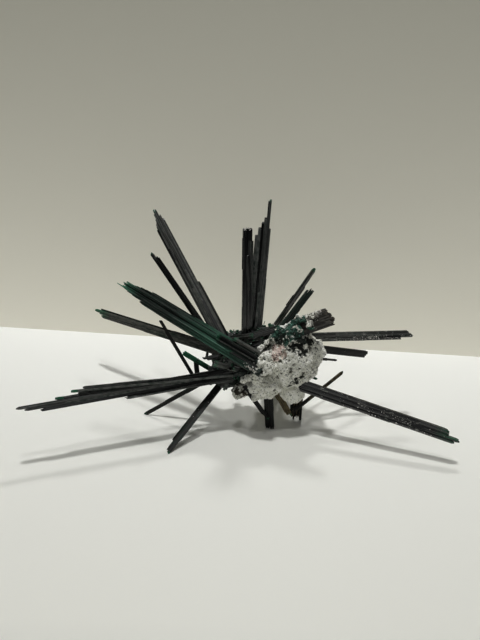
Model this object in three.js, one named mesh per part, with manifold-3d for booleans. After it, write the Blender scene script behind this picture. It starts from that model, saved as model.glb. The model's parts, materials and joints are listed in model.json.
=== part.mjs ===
// A spray of dark green brochantite crystals grown out of a lump of pale, pitted rock.
// Millimetres, +Z up. The specimen stands on the ends of its lowest crystals at z = 0,
// and the finished group has its origin at the centre of its own footprint.
import * as THREE from 'three';
import { mergeVertices } from 'three/addons/utils/BufferGeometryUtils.js';
import Module from 'manifold-3d';

const wasm = await Module();
wasm.setup();

// ---------------------------------------------------------------- driving dimensions
const seatGap = 0.3;          // clearance of a crystal's root in its socket
const rootDepth = 4;          // how far a crystal's root goes on below the point where it comes out
const floorBlockSize = 200;   // block that trims the standing crystals flat at the floor
const lumpDetail = 4;         // subdivision of the rock's main lump
const smallLumpDetail = 2;    // subdivision of its other lumps
const knobDetail = 1;         // subdivision of the knobs on it
const pitDetail = 0;          // subdivision of the pits in the rock
const rockRelief = 0.95;      // how far the rock's surface is pushed in and out
const clusterRelief = 0.7;    // the same for the mass of roots
const broadCell = 4.2;        // spacing of the broad unevenness
const fineCell = 1.7;         // spacing of the fine unevenness
const fineShare = 0.75;       // strength of the fine unevenness, as a share of the broad
const stubThickness = 0.7;    // thickness of a short crystal, as a share of its width
const lathShoulder = 0.62;    // width of a lath's flat face, as a share of its whole width
const lathEdgeLift = 0.15;    // how far one edge of a lath lies above its middle, as a share of
const lathEdgeDrop = 0.1;     // half its thickness, and how far the other edge lies below it
const lathFaceTilt = 0.14;    // how much lower its front face is at that other edge
const lathBackTilt = 0.1;     // and how much lower its back face is at the first
const lathProud = 0.12;       // how far a lath stands off the next one, as a share of thickness
const lathThinner = 0.13;     // how much thinner every other lath is
const endNarrowing = 0.8;     // width of a lath at its end, as a share of its root's
const endSlant = 0.45;        // slant of a lath's end, as a share of its width
const endBevel = 0.5;         // how far that end falls away to its faces
const mergeDistance = 1e-4;   // corners closer together than this are one corner

// Directions that a crystal's broad face can look in.
const towardsFront = [0, -1, 0.35];
const towardsFrontLeft = [-0.3, -1, 0.3];
const towardsFrontRight = [0.3, -1, 0.3];
const upAndFront = [0, -1, 0.8];
const towardsBack = [0, 1, 0.3];

// The rock: rough lumps that run into each other. Centres and radii.
const rockLumps = [
  { centre: [16.5, -2.5, 24], radii: [9, 9.5, 10.5], detail: lumpDetail },
  { centre: [17.4, -4, 32], radii: [4.9, 5.6, 5.2] },
  { centre: [22, -1, 25.4], radii: [5.2, 7, 5.6] },
  { centre: [17.8, -4.5, 13.6], radii: [4.6, 5.2, 5.4] },
  { centre: [9, -6.5, 15.6], radii: [5.6, 4.8, 4.6] },
  { centre: [3, -7, 14.6], radii: [4.2, 3.4, 2.8] },
  { centre: [14, 5.5, 22], radii: [8, 7, 9] },
];

// Small knobs that stand proud of the rock's top edge and of its lower left tongue.
const rockKnobs = [
  { centre: [12.8, -4, 33.6], radii: [2.2, 2, 1.9] },
  { centre: [10.4, -5.8, 31], radii: [1.8, 1.8, 2] },
  { centre: [8.4, -8, 26.6], radii: [1.9, 1.8, 2.1] },
  { centre: [17.4, -4.8, 36.4], radii: [2.4, 2.1, 2] },
  { centre: [21.6, -5.6, 30.4], radii: [2.1, 2, 2] },
  { centre: [26, -3.2, 26], radii: [1.9, 2, 2.1] },
  { centre: [0, -7.6, 13.2], radii: [1.7, 1.6, 1.7] },
  { centre: [5.4, -8.4, 12.2], radii: [1.9, 1.7, 1.6] },
  { centre: [13.6, 10.4, 27.6], radii: [3.2, 2.6, 2.8] },
  { centre: [9.6, 9.6, 17.4], radii: [2.8, 2.8, 2.6] },
  { centre: [18.4, 4.2, 31.4], radii: [2.8, 3, 2.6] },
];

// Pits and holes in the rock.
const rockPits = [
  { centre: [17.6, -10.4, 30.6], radii: [2.6, 2.6, 2] },
  { centre: [20.2, -8.2, 32.8], radii: [1.7, 2, 1.4] },
  { centre: [13.2, -10.8, 28], radii: [1.4, 1.6, 1.1] },
  { centre: [20.4, -11, 24.2], radii: [1.5, 1.5, 1.1] },
  { centre: [16.2, -12.4, 21], radii: [1.2, 1.3, 0.9] },
  { centre: [23.8, -8.2, 25.4], radii: [1.2, 1.4, 1.2] },
  { centre: [10.4, -10.6, 19.4], radii: [1.3, 1.4, 0.8] },
  { centre: [24.6, 4.2, 27], radii: [1.6, 1.7, 1.4] },
  { centre: [15, 11.6, 26], radii: [2, 1.8, 1.6] },
  { centre: [11, 12, 19], radii: [1.7, 1.6, 1.3] },
];

// The crevice that parts the rock's lower lobe from its body.
const rockCrevice = {
  from: [22.8, -9, 17.6], to: [13.8, -10.6, 14.6], steps: 4,
  radius: 1.5, taper: 0.6, widestAt: 0.4, length: 1.4, height: 0.6,
};

// The middle of the spray, where the crystals' roots have grown into one dark mass.
const clusterLumps = [
  { centre: [0, -0.5, 22], radii: [6.4, 5.6, 7], detail: 1 },
  { centre: [2.5, 0.5, 28.4], radii: [8.4, 4.2, 2.8], detail: 1 },
  { centre: [7.6, -0.6, 31], radii: [3.8, 3.4, 2.4], detail: 1 },
  { centre: [-3.5, -3.4, 16.4], radii: [5, 4, 3.4], detail: 1 },
  { centre: [1.6, -6, 19.4], radii: [3.6, 3, 2.6], detail: 1 },
];

// Short crystals in that mass that can be told apart: one lies along its top edge, the
// others stick out at its left and lie across its front.
const clusterStubs = [
  { root: [-2, -1, 30], tip: [12, -2.4, 34], width: 2.2 },
  { root: [0, -4, 28], tip: [8, -6.2, 31.2], width: 1.8 },
  { root: [-4, -3, 24], tip: [-11.6, -3.4, 22.6], width: 1.6 },
  { root: [-3, -4, 20], tip: [-9.6, -7.2, 21.4], width: 1.8 },
  { root: [1, -4, 24], tip: [7.4, -9.6, 23.4], width: 2 },
  { root: [-1, -4, 18], tip: [5.6, -9.6, 20.4], width: 1.8 },
  { root: [-4, -2, 17], tip: [-9.4, -5.6, 14.4], width: 1.7 },
];

// The rest of the short crystals bristle out evenly on all sides.
const bristles = {
  count: 17, middle: [0.8, 0, 21.8], reach: 8.8, uneven: 1.2, width: 3.8, unevenWidth: 0.95,
};

// The crystals. Each one has the point where it leaves the mass (root), its tip, the side
// its broad face looks to, its thickness, and the laths that it is made of, side by side.
// A lath has its distance across the crystal, its width, and where it ends along the crystal.
// A crystal that stands on the floor has its tip just below it, and is trimmed flat there.
const crystals = {
  tall_left_blade: {
    root: [-7.4, 1.4, 31.4], tip: [-29.6, 19, 65.3], facing: towardsFront, thickness: 2.4,
    laths: [
      { across: -1.6, wide: 1.3, ends: 0.79 },
      { across: -0.7, wide: 1.5, ends: 0.94 },
      { across: 0.2, wide: 1.5, ends: 1 },
      { across: 1.1, wide: 1.5, ends: 0.92 },
      { across: 1.9, wide: 0.9, ends: 0.37 },
    ],
  },
  slim_left_blade: {
    root: [-11, 4, 29.5], tip: [-31, 22, 50.5], facing: towardsFrontLeft, thickness: 1.5,
    laths: [
      { across: -0.4, wide: 1.3, ends: 1 },
      { across: 0.4, wide: 1.2, ends: 0.94 },
    ],
  },
  green_front_blade: {
    root: [4.2, -10.5, 25.2], tip: [-40.6, 15, 41.4], facing: towardsFront, thickness: 2.4,
    laths: [
      { across: -0.8, wide: 1.1, ends: 1 },
      { across: -0.2, wide: 0.9, ends: 0.97 },
      { across: 0.5, wide: 0.9, ends: 0.985 },
      { across: 1, wide: 1, ends: 0.94 },
      { across: 1.7, wide: 1.2, ends: 0.88 },
      { across: 2.4, wide: 0.9, ends: 0.47 },
      { across: -1.6, wide: 1.3, ends: 0.86 },
      { across: -2.3, wide: 0.9, ends: 0.66 },
    ],
  },
  back_left_blade: {
    root: [-5.5, 2, 23], tip: [-55.5, 36, 23], facing: upAndFront, thickness: 1.9,
    laths: [
      { across: 0.4, wide: 1.4, ends: 1 },
      { across: -0.5, wide: 1.3, ends: 0.84 },
      { across: -1.2, wide: 1.1, ends: 0.6 },
      { across: 1.1, wide: 1, ends: 0.74 },
    ],
  },
  crossing_stubs: {
    root: [-5, -4, 17], tip: [-17, -8, 26.5], facing: towardsFront, thickness: 1.3,
    laths: [
      { across: 0, wide: 1.7, ends: 1 },
    ],
    grownOn: [
      {
        root: [-13.2, -6.5, 16.4], tip: [-24, -9, 37.5], facing: towardsFront, thickness: 0.7,
        buried: 0,
        laths: [{ across: 0, wide: 0.9, ends: 1 }],
      },
      {
        root: [-12.6, -6, 16], tip: [-13.3, -7, 24], facing: towardsFront, thickness: 1.2,
        buried: 0,
        laths: [{ across: 0, wide: 1.6, ends: 1 }],
      },
    ],
  },
  long_left_blade: {
    root: [-3, -6, 19.4], tip: [-61.5, -30, 17.2], facing: towardsFront, thickness: 2.2,
    buried: 1.5,
    laths: [
      { across: 0.3, wide: 1.2, ends: 1 },
      { across: -0.5, wide: 1, ends: 0.87 },
      { across: 1, wide: 1, ends: 0.8 },
      { across: -1.2, wide: 1.2, ends: 0.72 },
      { across: -2.1, wide: 1.3, ends: 0.53 },
    ],
    grownOn: [
      {
        root: [-3.2, -7, 18.8], tip: [-46, -23, 20.3], facing: towardsFront, thickness: 2,
        buried: 1.5,
        laths: [
          { across: -0.1, wide: 1.2, ends: 1 },
          { across: 0.6, wide: 1, ends: 0.9 },
          { across: -0.8, wide: 1.2, ends: 0.94 },
        ],
      },
    ],
  },
  low_left_needle: {
    root: [-9, -4, 16], tip: [-31.2, -0.4, -0.3], facing: towardsFront, thickness: 0.9,
    buried: 1,
    laths: [
      { across: 0.2, wide: 0.9, ends: 1 },
      { across: -0.3, wide: 0.8, ends: 0.62 },
    ],
    stands: true,
  },
  left_leg: {
    root: [-6, -4, 13.4], tip: [-21.2, -22.8, -0.5], facing: upAndFront, thickness: 1.7,
    laths: [
      { across: -0.5, wide: 1.3, ends: 1 },
      { across: 0.5, wide: 1.3, ends: 0.95 },
    ],
    stands: true,
  },
  middle_leg: {
    root: [10, -6, 11], tip: [11.1, -6.2, -0.7], facing: towardsFront, thickness: 1.8,
    laths: [
      { across: -0.7, wide: 1.6, ends: 1 },
      { across: 0.7, wide: 1.6, ends: 1 },
    ],
    grownOn: [
      {
        root: [4.3, -8.4, 13], tip: [10, -6.6, 4], facing: towardsFront, thickness: 1,
        laths: [{ across: 0, wide: 1.3, ends: 1 }],
      },
    ],
    stands: true,
  },
  foot_plate: {
    root: [19.5, -3, 9.5], tip: [20, -0.4, -0.4], facing: towardsFront, thickness: 1.6,
    laths: [
      { across: -1.3, wide: 1.3, ends: 1 },
      { across: -0.3, wide: 1.2, ends: 0.9 },
      { across: 0.6, wide: 1.2, ends: 0.95 },
      { across: 1.5, wide: 1.1, ends: 0.86 },
    ],
    grownOn: [
      {
        root: [13, -2.4, 10.8], tip: [17.6, -1.4, 2.2], facing: towardsFront, thickness: 1.4,
        laths: [{ across: 0, wide: 2.4, ends: 1 }],
      },
      {
        root: [21.6, -2.6, 7.2], tip: [35.3, 3, 17.2], facing: towardsFront, thickness: 1,
        laths: [{ across: 0, wide: 1.2, ends: 1 }],
      },
    ],
    stands: true,
  },
  long_right_blade: {
    root: [21, -7, 16], tip: [64.5, -22.2, 8.5], facing: towardsFront, thickness: 2.2,
    laths: [
      { across: -1.2, wide: 1.2, ends: 0.965 },
      { across: -0.3, wide: 1.3, ends: 0.98 },
      { across: 0.6, wide: 1.2, ends: 1 },
      { across: 1.3, wide: 1, ends: 0.985 },
    ],
  },
  level_right_blade: {
    root: [23.8, 2, 29.2], tip: [57.3, 6.3, 29.6], facing: towardsFront, thickness: 2,
    laths: [
      { across: -0.8, wide: 1.3, ends: 0.96 },
      { across: 0.1, wide: 1.3, ends: 1 },
      { across: 0.9, wide: 1, ends: 0.88 },
    ],
  },
  short_right_blade: {
    root: [25.4, 0, 26], tip: [44.5, 14, 18.6], facing: towardsFront, thickness: 1.8,
    laths: [
      { across: -0.6, wide: 1.3, ends: 1 },
      { across: 0.6, wide: 1.4, ends: 0.95 },
    ],
  },
  right_needle: {
    root: [23, 5.4, 20.4], tip: [35.6, 19, 13.7], facing: towardsFront, thickness: 0.7,
    laths: [{ across: 0, wide: 0.8, ends: 1 }],
  },
  right_stub_needle: {
    root: [21.8, -1, 17.3], tip: [25.8, -4, 17], facing: towardsFront, thickness: 0.7,
    laths: [{ across: 0, wide: 0.8, ends: 1 }],
  },
  brown_stub: {
    root: [20.3, -5, 35.9], tip: [28.2, -7.3, 40.3], facing: upAndFront, thickness: 3.4,
    buried: 2.2,
    laths: [
      { across: -1.8, wide: 2, ends: 0.82 },
      { across: -0.4, wide: 1.9, ends: 0.94 },
      { across: 0.9, wide: 1.9, ends: 1 },
      { across: 2.1, wide: 1.7, ends: 0.92 },
    ],
  },
  rising_needle: {
    root: [10.6, -0.6, 33], tip: [23.1, 6, 51.1], facing: towardsFrontRight, thickness: 1.2,
    laths: [
      { across: -0.3, wide: 0.9, ends: 1 },
      { across: 0.3, wide: 0.8, ends: 0.99 },
      { across: 0.75, wide: 0.6, ends: 0.73 },
    ],
  },
  teal_blade: {
    root: [12.9, -2.4, 33.6], tip: [22.8, 1.6, 47], facing: towardsFrontRight, thickness: 1.4,
    laths: [
      { across: 0.9, wide: 0.8, ends: 1 },
      { across: 0.3, wide: 0.8, ends: 0.96 },
      { across: -0.5, wide: 1.1, ends: 0.88 },
    ],
  },
  twin_uprights: {
    root: [2, -2, 31.4], tip: [1.2, 0, 65.2], facing: towardsFront, thickness: 2.2,
    laths: [
      { across: -0.6, wide: 1.6, ends: 1 },
      { across: 0.7, wide: 1.5, ends: 0.985 },
    ],
    grownOn: [
      {
        root: [4.9, 0, 30.7], tip: [6.9, 4, 72.8], facing: towardsFront, thickness: 2.4,
        laths: [
          { across: 0.9, wide: 1.3, ends: 1 },
          { across: 0.2, wide: 1.2, ends: 0.867 },
          { across: -0.6, wide: 1.1, ends: 0.81 },
          { across: -1.4, wide: 1.1, ends: 0.78 },
          { across: 1.6, wide: 0.9, ends: 0.79 },
          { across: -2.2, wide: 1.1, ends: 0.72 },
        ],
      },
    ],
  },
  back_leg: {
    root: [12, 9, 13.6], tip: [15.4, 24.6, -0.6], facing: towardsBack, thickness: 2,
    laths: [
      { across: -0.7, wide: 1.5, ends: 1 },
      { across: 0.6, wide: 1.5, ends: 1 },
    ],
    stands: true,
  },
  back_blade: {
    root: [15, 11, 25], tip: [22, 36, 21], facing: towardsBack, thickness: 1.8,
    laths: [
      { across: -0.8, wide: 1.3, ends: 0.93 },
      { across: 0.2, wide: 1.4, ends: 1 },
      { across: 1, wide: 1, ends: 0.8 },
    ],
  },
};

// Colour, roughness and metalness of each kind of surface.
const finishes = {
  rock: { color: 0x9a9b8b, roughness: 0.9, metalness: 0 },
  crystal: { color: 0x16211a, roughness: 0.35, metalness: 0 },
  greenCrystal: { color: 0x1c3a2b, roughness: 0.35, metalness: 0 },
  brownCrystal: { color: 0x2b2a1e, roughness: 0.6, metalness: 0 },
};

const finishOf = {
  green_front_blade: finishes.greenCrystal,
  teal_blade: finishes.greenCrystal,
  brown_stub: finishes.brownCrystal,
};

// ---------------------------------------------------------------- solids from geometry

/** A three.js geometry as a solid that can be joined and cut. */
function solid(geometry) {
  geometry.deleteAttribute('normal');
  geometry.deleteAttribute('uv');
  const merged = mergeVertices(geometry, mergeDistance);
  return new wasm.Manifold(new wasm.Mesh({
    numProp: 3,
    vertProperties: new Float32Array(merged.attributes.position.array),
    triVerts: new Uint32Array(merged.index.array),
  }));
}

function join(solids) {
  return solids.reduce((whole, piece) => whole.add(piece));
}

/** The triangles of the largest of the bodies in a mesh, without crumbs that a cut freed. */
function largestBody({ vertProperties, triVerts }) {
  const leader = Array.from({ length: vertProperties.length / 3 }, (_, i) => i);
  const find = (i) => {
    while (leader[i] !== i) {
      leader[i] = leader[leader[i]];
      i = leader[i];
    }
    return i;
  };
  for (let i = 0; i < triVerts.length; i += 3) {
    leader[find(triVerts[i + 1])] = find(triVerts[i]);
    leader[find(triVerts[i + 2])] = find(triVerts[i]);
  }
  const bodies = new Map();
  for (let i = 0; i < triVerts.length; i += 3) {
    const body = find(triVerts[i]);
    bodies.set(body, bodies.get(body) ?? []);
    bodies.get(body).push(...triVerts.slice(i, i + 3));
  }
  return [...bodies.values()].reduce((most, next) => (next.length > most.length ? next : most));
}

/** A named mesh of a solid, in its own material. */
function meshOf(name, body, finish) {
  const surface = body.getMesh();
  const geometry = new THREE.BufferGeometry();
  geometry.setAttribute('position', new THREE.BufferAttribute(surface.vertProperties, 3));
  geometry.setIndex(largestBody(surface));
  geometry.computeVertexNormals();
  const mesh = new THREE.Mesh(geometry, new THREE.MeshStandardMaterial(finish));
  mesh.name = name;
  return mesh;
}

// ---------------------------------------------------------------- rock

// Numbers that mix a grid corner's place into a value that looks random.
const mixing = { i: 127.1, j: 311.7, k: 74.7, spread: 43758.5453 };

/** A number from -1 to 1 that belongs to one corner of a grid. */
function cornerValue(i, j, k) {
  const mixed = Math.sin(i * mixing.i + j * mixing.j + k * mixing.k) * mixing.spread;
  return 2 * (mixed - Math.floor(mixed)) - 1;
}

/** Soft noise from -1 to 1: the values of a grid's corners, blended between them. */
function noise(point, cell) {
  const [x, y, z] = point.toArray().map((value) => value / cell);
  const [i, j, k] = [Math.floor(x), Math.floor(y), Math.floor(z)];
  const ease = (t) => t * t * (3 - 2 * t);
  const [u, v, w] = [ease(x - i), ease(y - j), ease(z - k)];
  const along = (b, c) => THREE.MathUtils.lerp(
    cornerValue(i, j + b, k + c), cornerValue(i + 1, j + b, k + c), u);
  const level = (c) => THREE.MathUtils.lerp(along(0, c), along(1, c), v);
  return THREE.MathUtils.lerp(level(0), level(1), w);
}

/** One rough lump: a ball, stretched to its radii and pushed in and out by the noise. */
function lump({ centre, radii, detail = smallLumpDetail }, relief, grow = 0) {
  const geometry = new THREE.IcosahedronGeometry(1, detail);
  const place = geometry.attributes.position;
  const stretch = new THREE.Vector3(...radii);
  const middle = new THREE.Vector3(...centre);
  const outward = new THREE.Vector3();
  const point = new THREE.Vector3();
  for (let i = 0; i < place.count; i += 1) {
    outward.fromBufferAttribute(place, i);
    point.copy(outward).multiply(stretch).add(middle);
    const push = relief * (noise(point, broadCell) + fineShare * noise(point, fineCell));
    point.addScaledVector(outward, push + grow);
    place.setXYZ(i, ...point.toArray());
  }
  return solid(geometry);
}

/** The crevice as a row of small overlapping lumps. */
function crevice({ from, to, steps, radius, taper, widestAt, length, height }) {
  const start = new THREE.Vector3(...from);
  const end = new THREE.Vector3(...to);
  const row = [];
  for (let i = 0; i < steps; i += 1) {
    const along = i / (steps - 1);
    const deep = radius - taper * Math.abs(along - widestAt);
    const radii = [length * deep, deep, height * deep];
    row.push(lump({ centre: start.clone().lerp(end, along).toArray(), radii, detail: pitDetail }, 0));
  }
  return join(row);
}

function rockBody(grow = 0) {
  const lumps = rockLumps.map((each) => lump(each, rockRelief, grow));
  const knobs = rockKnobs.map((each) => lump({ ...each, detail: knobDetail }, rockRelief, grow));
  return join([...lumps, ...knobs]);
}

function rock() {
  const pits = rockPits.map((each) => lump({ ...each, detail: pitDetail }, rockRelief));
  return rockBody().subtract(join(pits)).subtract(crevice(rockCrevice));
}

// ---------------------------------------------------------------- crystals

/** Outline of a lath's six-sided section, across and through the crystal. */
function lathSection(wide, thick) {
  const edge = wide / 2;
  const shoulder = edge * lathShoulder;
  const half = thick / 2;
  const outline = new THREE.Shape();
  outline.moveTo(edge, half * lathEdgeLift);
  outline.lineTo(shoulder, half);
  outline.lineTo(-shoulder, half * (1 - lathFaceTilt));
  outline.lineTo(-edge, -half * lathEdgeDrop);
  outline.lineTo(-shoulder, -half);
  outline.lineTo(shoulder, -half * (1 - lathBackTilt));
  outline.closePath();
  return outline;
}

/** One lath along +Z, with a slanted end that is a little narrower than its root. */
function lath({ across, wide, ends }, length, thickness, buried, order) {
  const proud = lathProud * thickness * ((order % 3) - 1);
  const thick = thickness * (1 - lathThinner * (order % 2));
  const depth = ends * length + buried;
  const geometry = new THREE.ExtrudeGeometry(lathSection(wide, thick), {
    depth, steps: 1, bevelEnabled: false,
  });
  const place = geometry.attributes.position;
  const slant = endSlant * (order % 2 === 0 ? 1 : -1);
  for (let i = 0; i < place.count; i += 1) {
    const atEnd = place.getZ(i) > depth / 2;
    const narrow = atEnd ? endNarrowing : 1;
    const x = place.getX(i) * narrow;
    const y = place.getY(i) * narrow;
    const cut = atEnd ? slant * x - endBevel * Math.abs(y) : 0;
    place.setXYZ(i, x + across, y + proud, place.getZ(i) - buried + cut);
  }
  return solid(geometry);
}

/** Stands a crystal made along +Z on its root, pointing at its tip and facing its side. */
function placing(root, tip, facing) {
  const along = new THREE.Vector3(...tip).sub(new THREE.Vector3(...root)).normalize();
  const face = new THREE.Vector3(...facing);
  face.addScaledVector(along, -face.dot(along)).normalize();
  const side = new THREE.Vector3().crossVectors(along, face);
  return new THREE.Matrix4().makeBasis(side, face.negate(), along).setPosition(...root);
}

function lengthOf({ root, tip }) {
  return new THREE.Vector3(...tip).distanceTo(new THREE.Vector3(...root));
}

/** A crystal: its laths side by side in one solid, and what has grown onto it. */
function crystal(form) {
  const { root, tip, facing, thickness, buried = rootDepth, grownOn = [] } = form;
  const laths = form.laths.map((each, i) => lath(each, lengthOf(form), thickness, buried, i));
  const body = join(laths).transform(placing(root, tip, facing).elements);
  return join([body, ...grownOn.map(crystal)]);
}

/** The room that a crystal takes in what it has grown out of: its own box, a gap larger. */
function socket(form) {
  const { root, tip, facing, thickness, laths, buried = rootDepth, grownOn = [] } = form;
  const left = Math.min(...laths.map(({ across, wide }) => across - wide / 2)) - seatGap;
  const right = Math.max(...laths.map(({ across, wide }) => across + wide / 2)) + seatGap;
  const through = thickness * (1 + 2 * lathProud) + 2 * seatGap;
  const deep = lengthOf(form) + buried + 2 * seatGap;
  const block = new THREE.BoxGeometry(right - left, through, deep);
  block.translate((left + right) / 2, 0, deep / 2 - buried - seatGap);
  block.applyMatrix4(placing(root, tip, facing));
  return join([solid(block), ...grownOn.map(socket)]);
}

/** Everything below the floor, which the standing crystals are trimmed by. */
function belowFloor() {
  const block = new THREE.BoxGeometry(floorBlockSize, floorBlockSize, floorBlockSize);
  block.translate(0, 0, -floorBlockSize / 2);
  return solid(block);
}

function stub({ root, tip, width }) {
  return crystal({
    root, tip, facing: towardsFront, thickness: stubThickness * width, buried: 0,
    laths: [{ across: 0, wide: width, ends: 1 }],
  });
}

/** The bristling short crystals: a turn of the golden angle from each to the next. */
function bristle(order) {
  const { count, middle, reach, uneven, width, unevenWidth } = bristles;
  const height = 1 - (2 * order + 1) / count;
  const turn = order * Math.PI * (3 - Math.sqrt(5));
  const flat = Math.sqrt(1 - height * height);
  const outward = new THREE.Vector3(flat * Math.cos(turn), flat * Math.sin(turn), height);
  const root = new THREE.Vector3(...middle);
  root.add(new THREE.Vector3(cornerValue(order, 0, 1), cornerValue(order, 1, 2), 0));
  const end = new THREE.Vector3(...middle);
  end.addScaledVector(outward, reach + uneven * cornerValue(order, 2, 3));
  const wide = width + unevenWidth * cornerValue(order, 3, 4);
  return stub({ root: root.toArray(), tip: end.toArray(), width: wide });
}

function rootCluster() {
  const lumps = clusterLumps.map((each) => lump(each, clusterRelief));
  const bristling = Array.from({ length: bristles.count }, (_, order) => bristle(order));
  return join([...lumps, ...clusterStubs.map(stub), ...bristling]);
}

// ---------------------------------------------------------------- the specimen

const floorBlock = belowFloor();
const sockets = join(Object.values(crystals).map(socket));
const specimen = new THREE.Group();

specimen.add(meshOf('rock_matrix', rock().subtract(sockets), finishes.rock));
const cluster = rootCluster().subtract(rockBody(seatGap)).subtract(sockets);
specimen.add(meshOf('root_cluster', cluster, finishes.crystal));

for (const [name, form] of Object.entries(crystals)) {
  const body = form.stands ? crystal(form).subtract(floorBlock) : crystal(form);
  specimen.add(meshOf(name, body, finishOf[name] ?? finishes.crystal));
}

// The group's origin goes to the centre of its footprint, on the floor.
const extent = new THREE.Box3().setFromObject(specimen);
const middle = extent.getCenter(new THREE.Vector3());
specimen.position.set(-middle.x, -middle.y, -extent.min.z);

export default specimen;
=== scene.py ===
# %% [markdown]
# # A spray of dark crystals on a lump of pale rock
#
# The specimen is one natural thing. Long blades of a dark green copper mineral have grown out
# of a pitted, pale rock, and their roots meet in a black mass beside it. A plain solid of each
# crystal, of the rock and of the root mass is given, and holds the true sizes and places. This
# lesson turns those plain solids into what the eye sees: bundles of fine laths with jagged ends,
# a rock full of pits, and surfaces that shine, crumble or stain as they do on the real piece.

# %% Open the plain solids
import json
import math
import random
from dataclasses import dataclass

import bmesh
import bpy
import numpy as np
from mathutils import Matrix, Vector, noise
from mathutils.bvhtree import BVHTree

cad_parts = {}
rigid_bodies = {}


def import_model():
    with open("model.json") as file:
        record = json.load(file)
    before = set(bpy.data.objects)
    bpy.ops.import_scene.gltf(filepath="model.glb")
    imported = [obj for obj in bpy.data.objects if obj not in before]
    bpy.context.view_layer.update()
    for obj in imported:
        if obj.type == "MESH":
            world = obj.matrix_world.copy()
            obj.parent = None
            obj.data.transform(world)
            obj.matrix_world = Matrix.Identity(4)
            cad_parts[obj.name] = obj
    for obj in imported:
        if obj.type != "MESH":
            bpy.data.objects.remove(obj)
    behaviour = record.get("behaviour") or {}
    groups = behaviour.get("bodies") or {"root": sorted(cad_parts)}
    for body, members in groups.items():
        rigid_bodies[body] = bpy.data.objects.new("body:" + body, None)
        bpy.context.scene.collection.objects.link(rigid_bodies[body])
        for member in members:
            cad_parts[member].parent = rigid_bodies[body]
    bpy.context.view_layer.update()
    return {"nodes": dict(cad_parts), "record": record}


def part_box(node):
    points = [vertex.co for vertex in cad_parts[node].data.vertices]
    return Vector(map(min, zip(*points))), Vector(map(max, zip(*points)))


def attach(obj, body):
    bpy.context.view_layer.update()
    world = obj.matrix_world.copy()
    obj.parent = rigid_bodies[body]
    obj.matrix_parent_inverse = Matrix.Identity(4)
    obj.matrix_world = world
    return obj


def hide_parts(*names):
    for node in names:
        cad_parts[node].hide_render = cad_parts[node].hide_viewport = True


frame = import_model()

MM = 0.001
slot_of = {part["node"]: part["material_slot"] for part in frame["record"]["subparts"]}
print("nodes:", len(frame["nodes"]))

# %% [markdown]
# ## The camera
#
# A small thing on a shelf is usually seen from a little above. The camera stands a hand's length
# away and looks down by about twenty degrees. It could be aimed with a Track To constraint, but
# plain angles say more clearly what it does, and leave room for the slight lean that a camera
# held in the hand has.

# %% Set up the camera
CAMERA_PLACE = Vector((-1.36, -168.92, 97.0)) * MM
LOOKS_DOWN = math.radians(20.5)
LEANS = math.radians(2.0)

camera_data = bpy.data.cameras.new("camera")
camera_data.sensor_width = 36.0
camera_data.lens = 31.5
camera_data.clip_start = 0.005
camera_data.clip_end = 20.0
camera = bpy.data.objects.new("camera", camera_data)
aim = Matrix.Rotation(math.pi / 2 - LOOKS_DOWN, 4, "X") @ Matrix.Rotation(LEANS, 4, "Z")
camera.matrix_world = Matrix.Translation(CAMERA_PLACE) @ aim
bpy.context.scene.collection.objects.link(camera)
bpy.context.scene.camera = camera
print("camera stands", round(CAMERA_PLACE.length / MM), "mm from the specimen's foot")

# %% [markdown]
# ## Reading a solid
#
# A plain solid comes with its corners split wherever two faces meet at an edge, as files for
# drawing keep them. Merging corners that lie on the same spot gives back one closed skin, whose
# edges know both of their faces. That is needed to ask how sharp an edge is.

# %% Read a solid as one closed skin
SAME_SPOT = 0.002 * MM


def skin_of(node):
    """The node's solid as a bmesh with its split corners joined."""
    made = bmesh.new()
    made.from_mesh(frame["nodes"][node].data)
    bmesh.ops.remove_doubles(made, verts=made.verts, dist=SAME_SPOT)
    made.normal_update()
    return made


# %% Put a finished mesh in the scene
def new_piece(name, mesh):
    """An object for a mesh, in the scene."""
    piece = bpy.data.objects.new(name, mesh)
    bpy.context.scene.collection.objects.link(piece)
    return piece


# %% Find the middle that the crystals spread from
low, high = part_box("root_cluster")
hub = (low + high) / 2
print("the crystals spread from", [round(x / MM, 1) for x in hub], "mm")

# %% [markdown]
# ## Finding each crystal's own directions
#
# A blade is drawn along a line, but the solid does not say which. Its long edges do: they all
# run the same way. So the long, sharp edges of a solid are sorted into groups that are parallel,
# and each group with enough edges is one crystal. The way its broad side looks is found by
# turning a box about it until the box fits tightest. This is better than typing the directions
# in, because the looks then follow the solids when they change.

# %% Group the long edges of a solid
SHARP = math.radians(8)
SAME_WAY = math.radians(2.6)
LOOSE_WAY = {"brown_stub": math.radians(10)}  # its fibres fan out
SHORTEST_EDGE = 2.0 * MM
FEWEST_EDGES = 4


def long_edges(skin):
    """The ends of each sharp edge that is long enough to count, the longest first."""
    ends = []
    for edge in skin.edges:
        if edge.calc_length() > SHORTEST_EDGE and edge.calc_face_angle(0) > SHARP:
            ends.append((edge.verts[0].co.copy(), edge.verts[1].co.copy()))
    return sorted(ends, key=lambda pair: (pair[0] - pair[1]).length, reverse=True)


def parallel_groups(skin, same_way):
    """The long edges in groups that run the same way, one group for each crystal."""
    groups = []
    for a, b in long_edges(skin):
        for group in groups:
            first, last = group[0]
            turn = (last - first).angle(b - a)
            if turn < same_way:
                group.append((a, b))
                break
            if math.pi - turn < same_way:
                group.append((b, a))
                break
        else:
            groups.append([(a, b)])
    return [group for group in groups if has_body(group)]


def has_body(group):
    """True if enough of the edges are about as long as the longest, as on a real prism."""
    lengths = [(b - a).length for a, b in group]
    return sum(length > max(lengths) / 2 for length in lengths) >= FEWEST_EDGES


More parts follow.
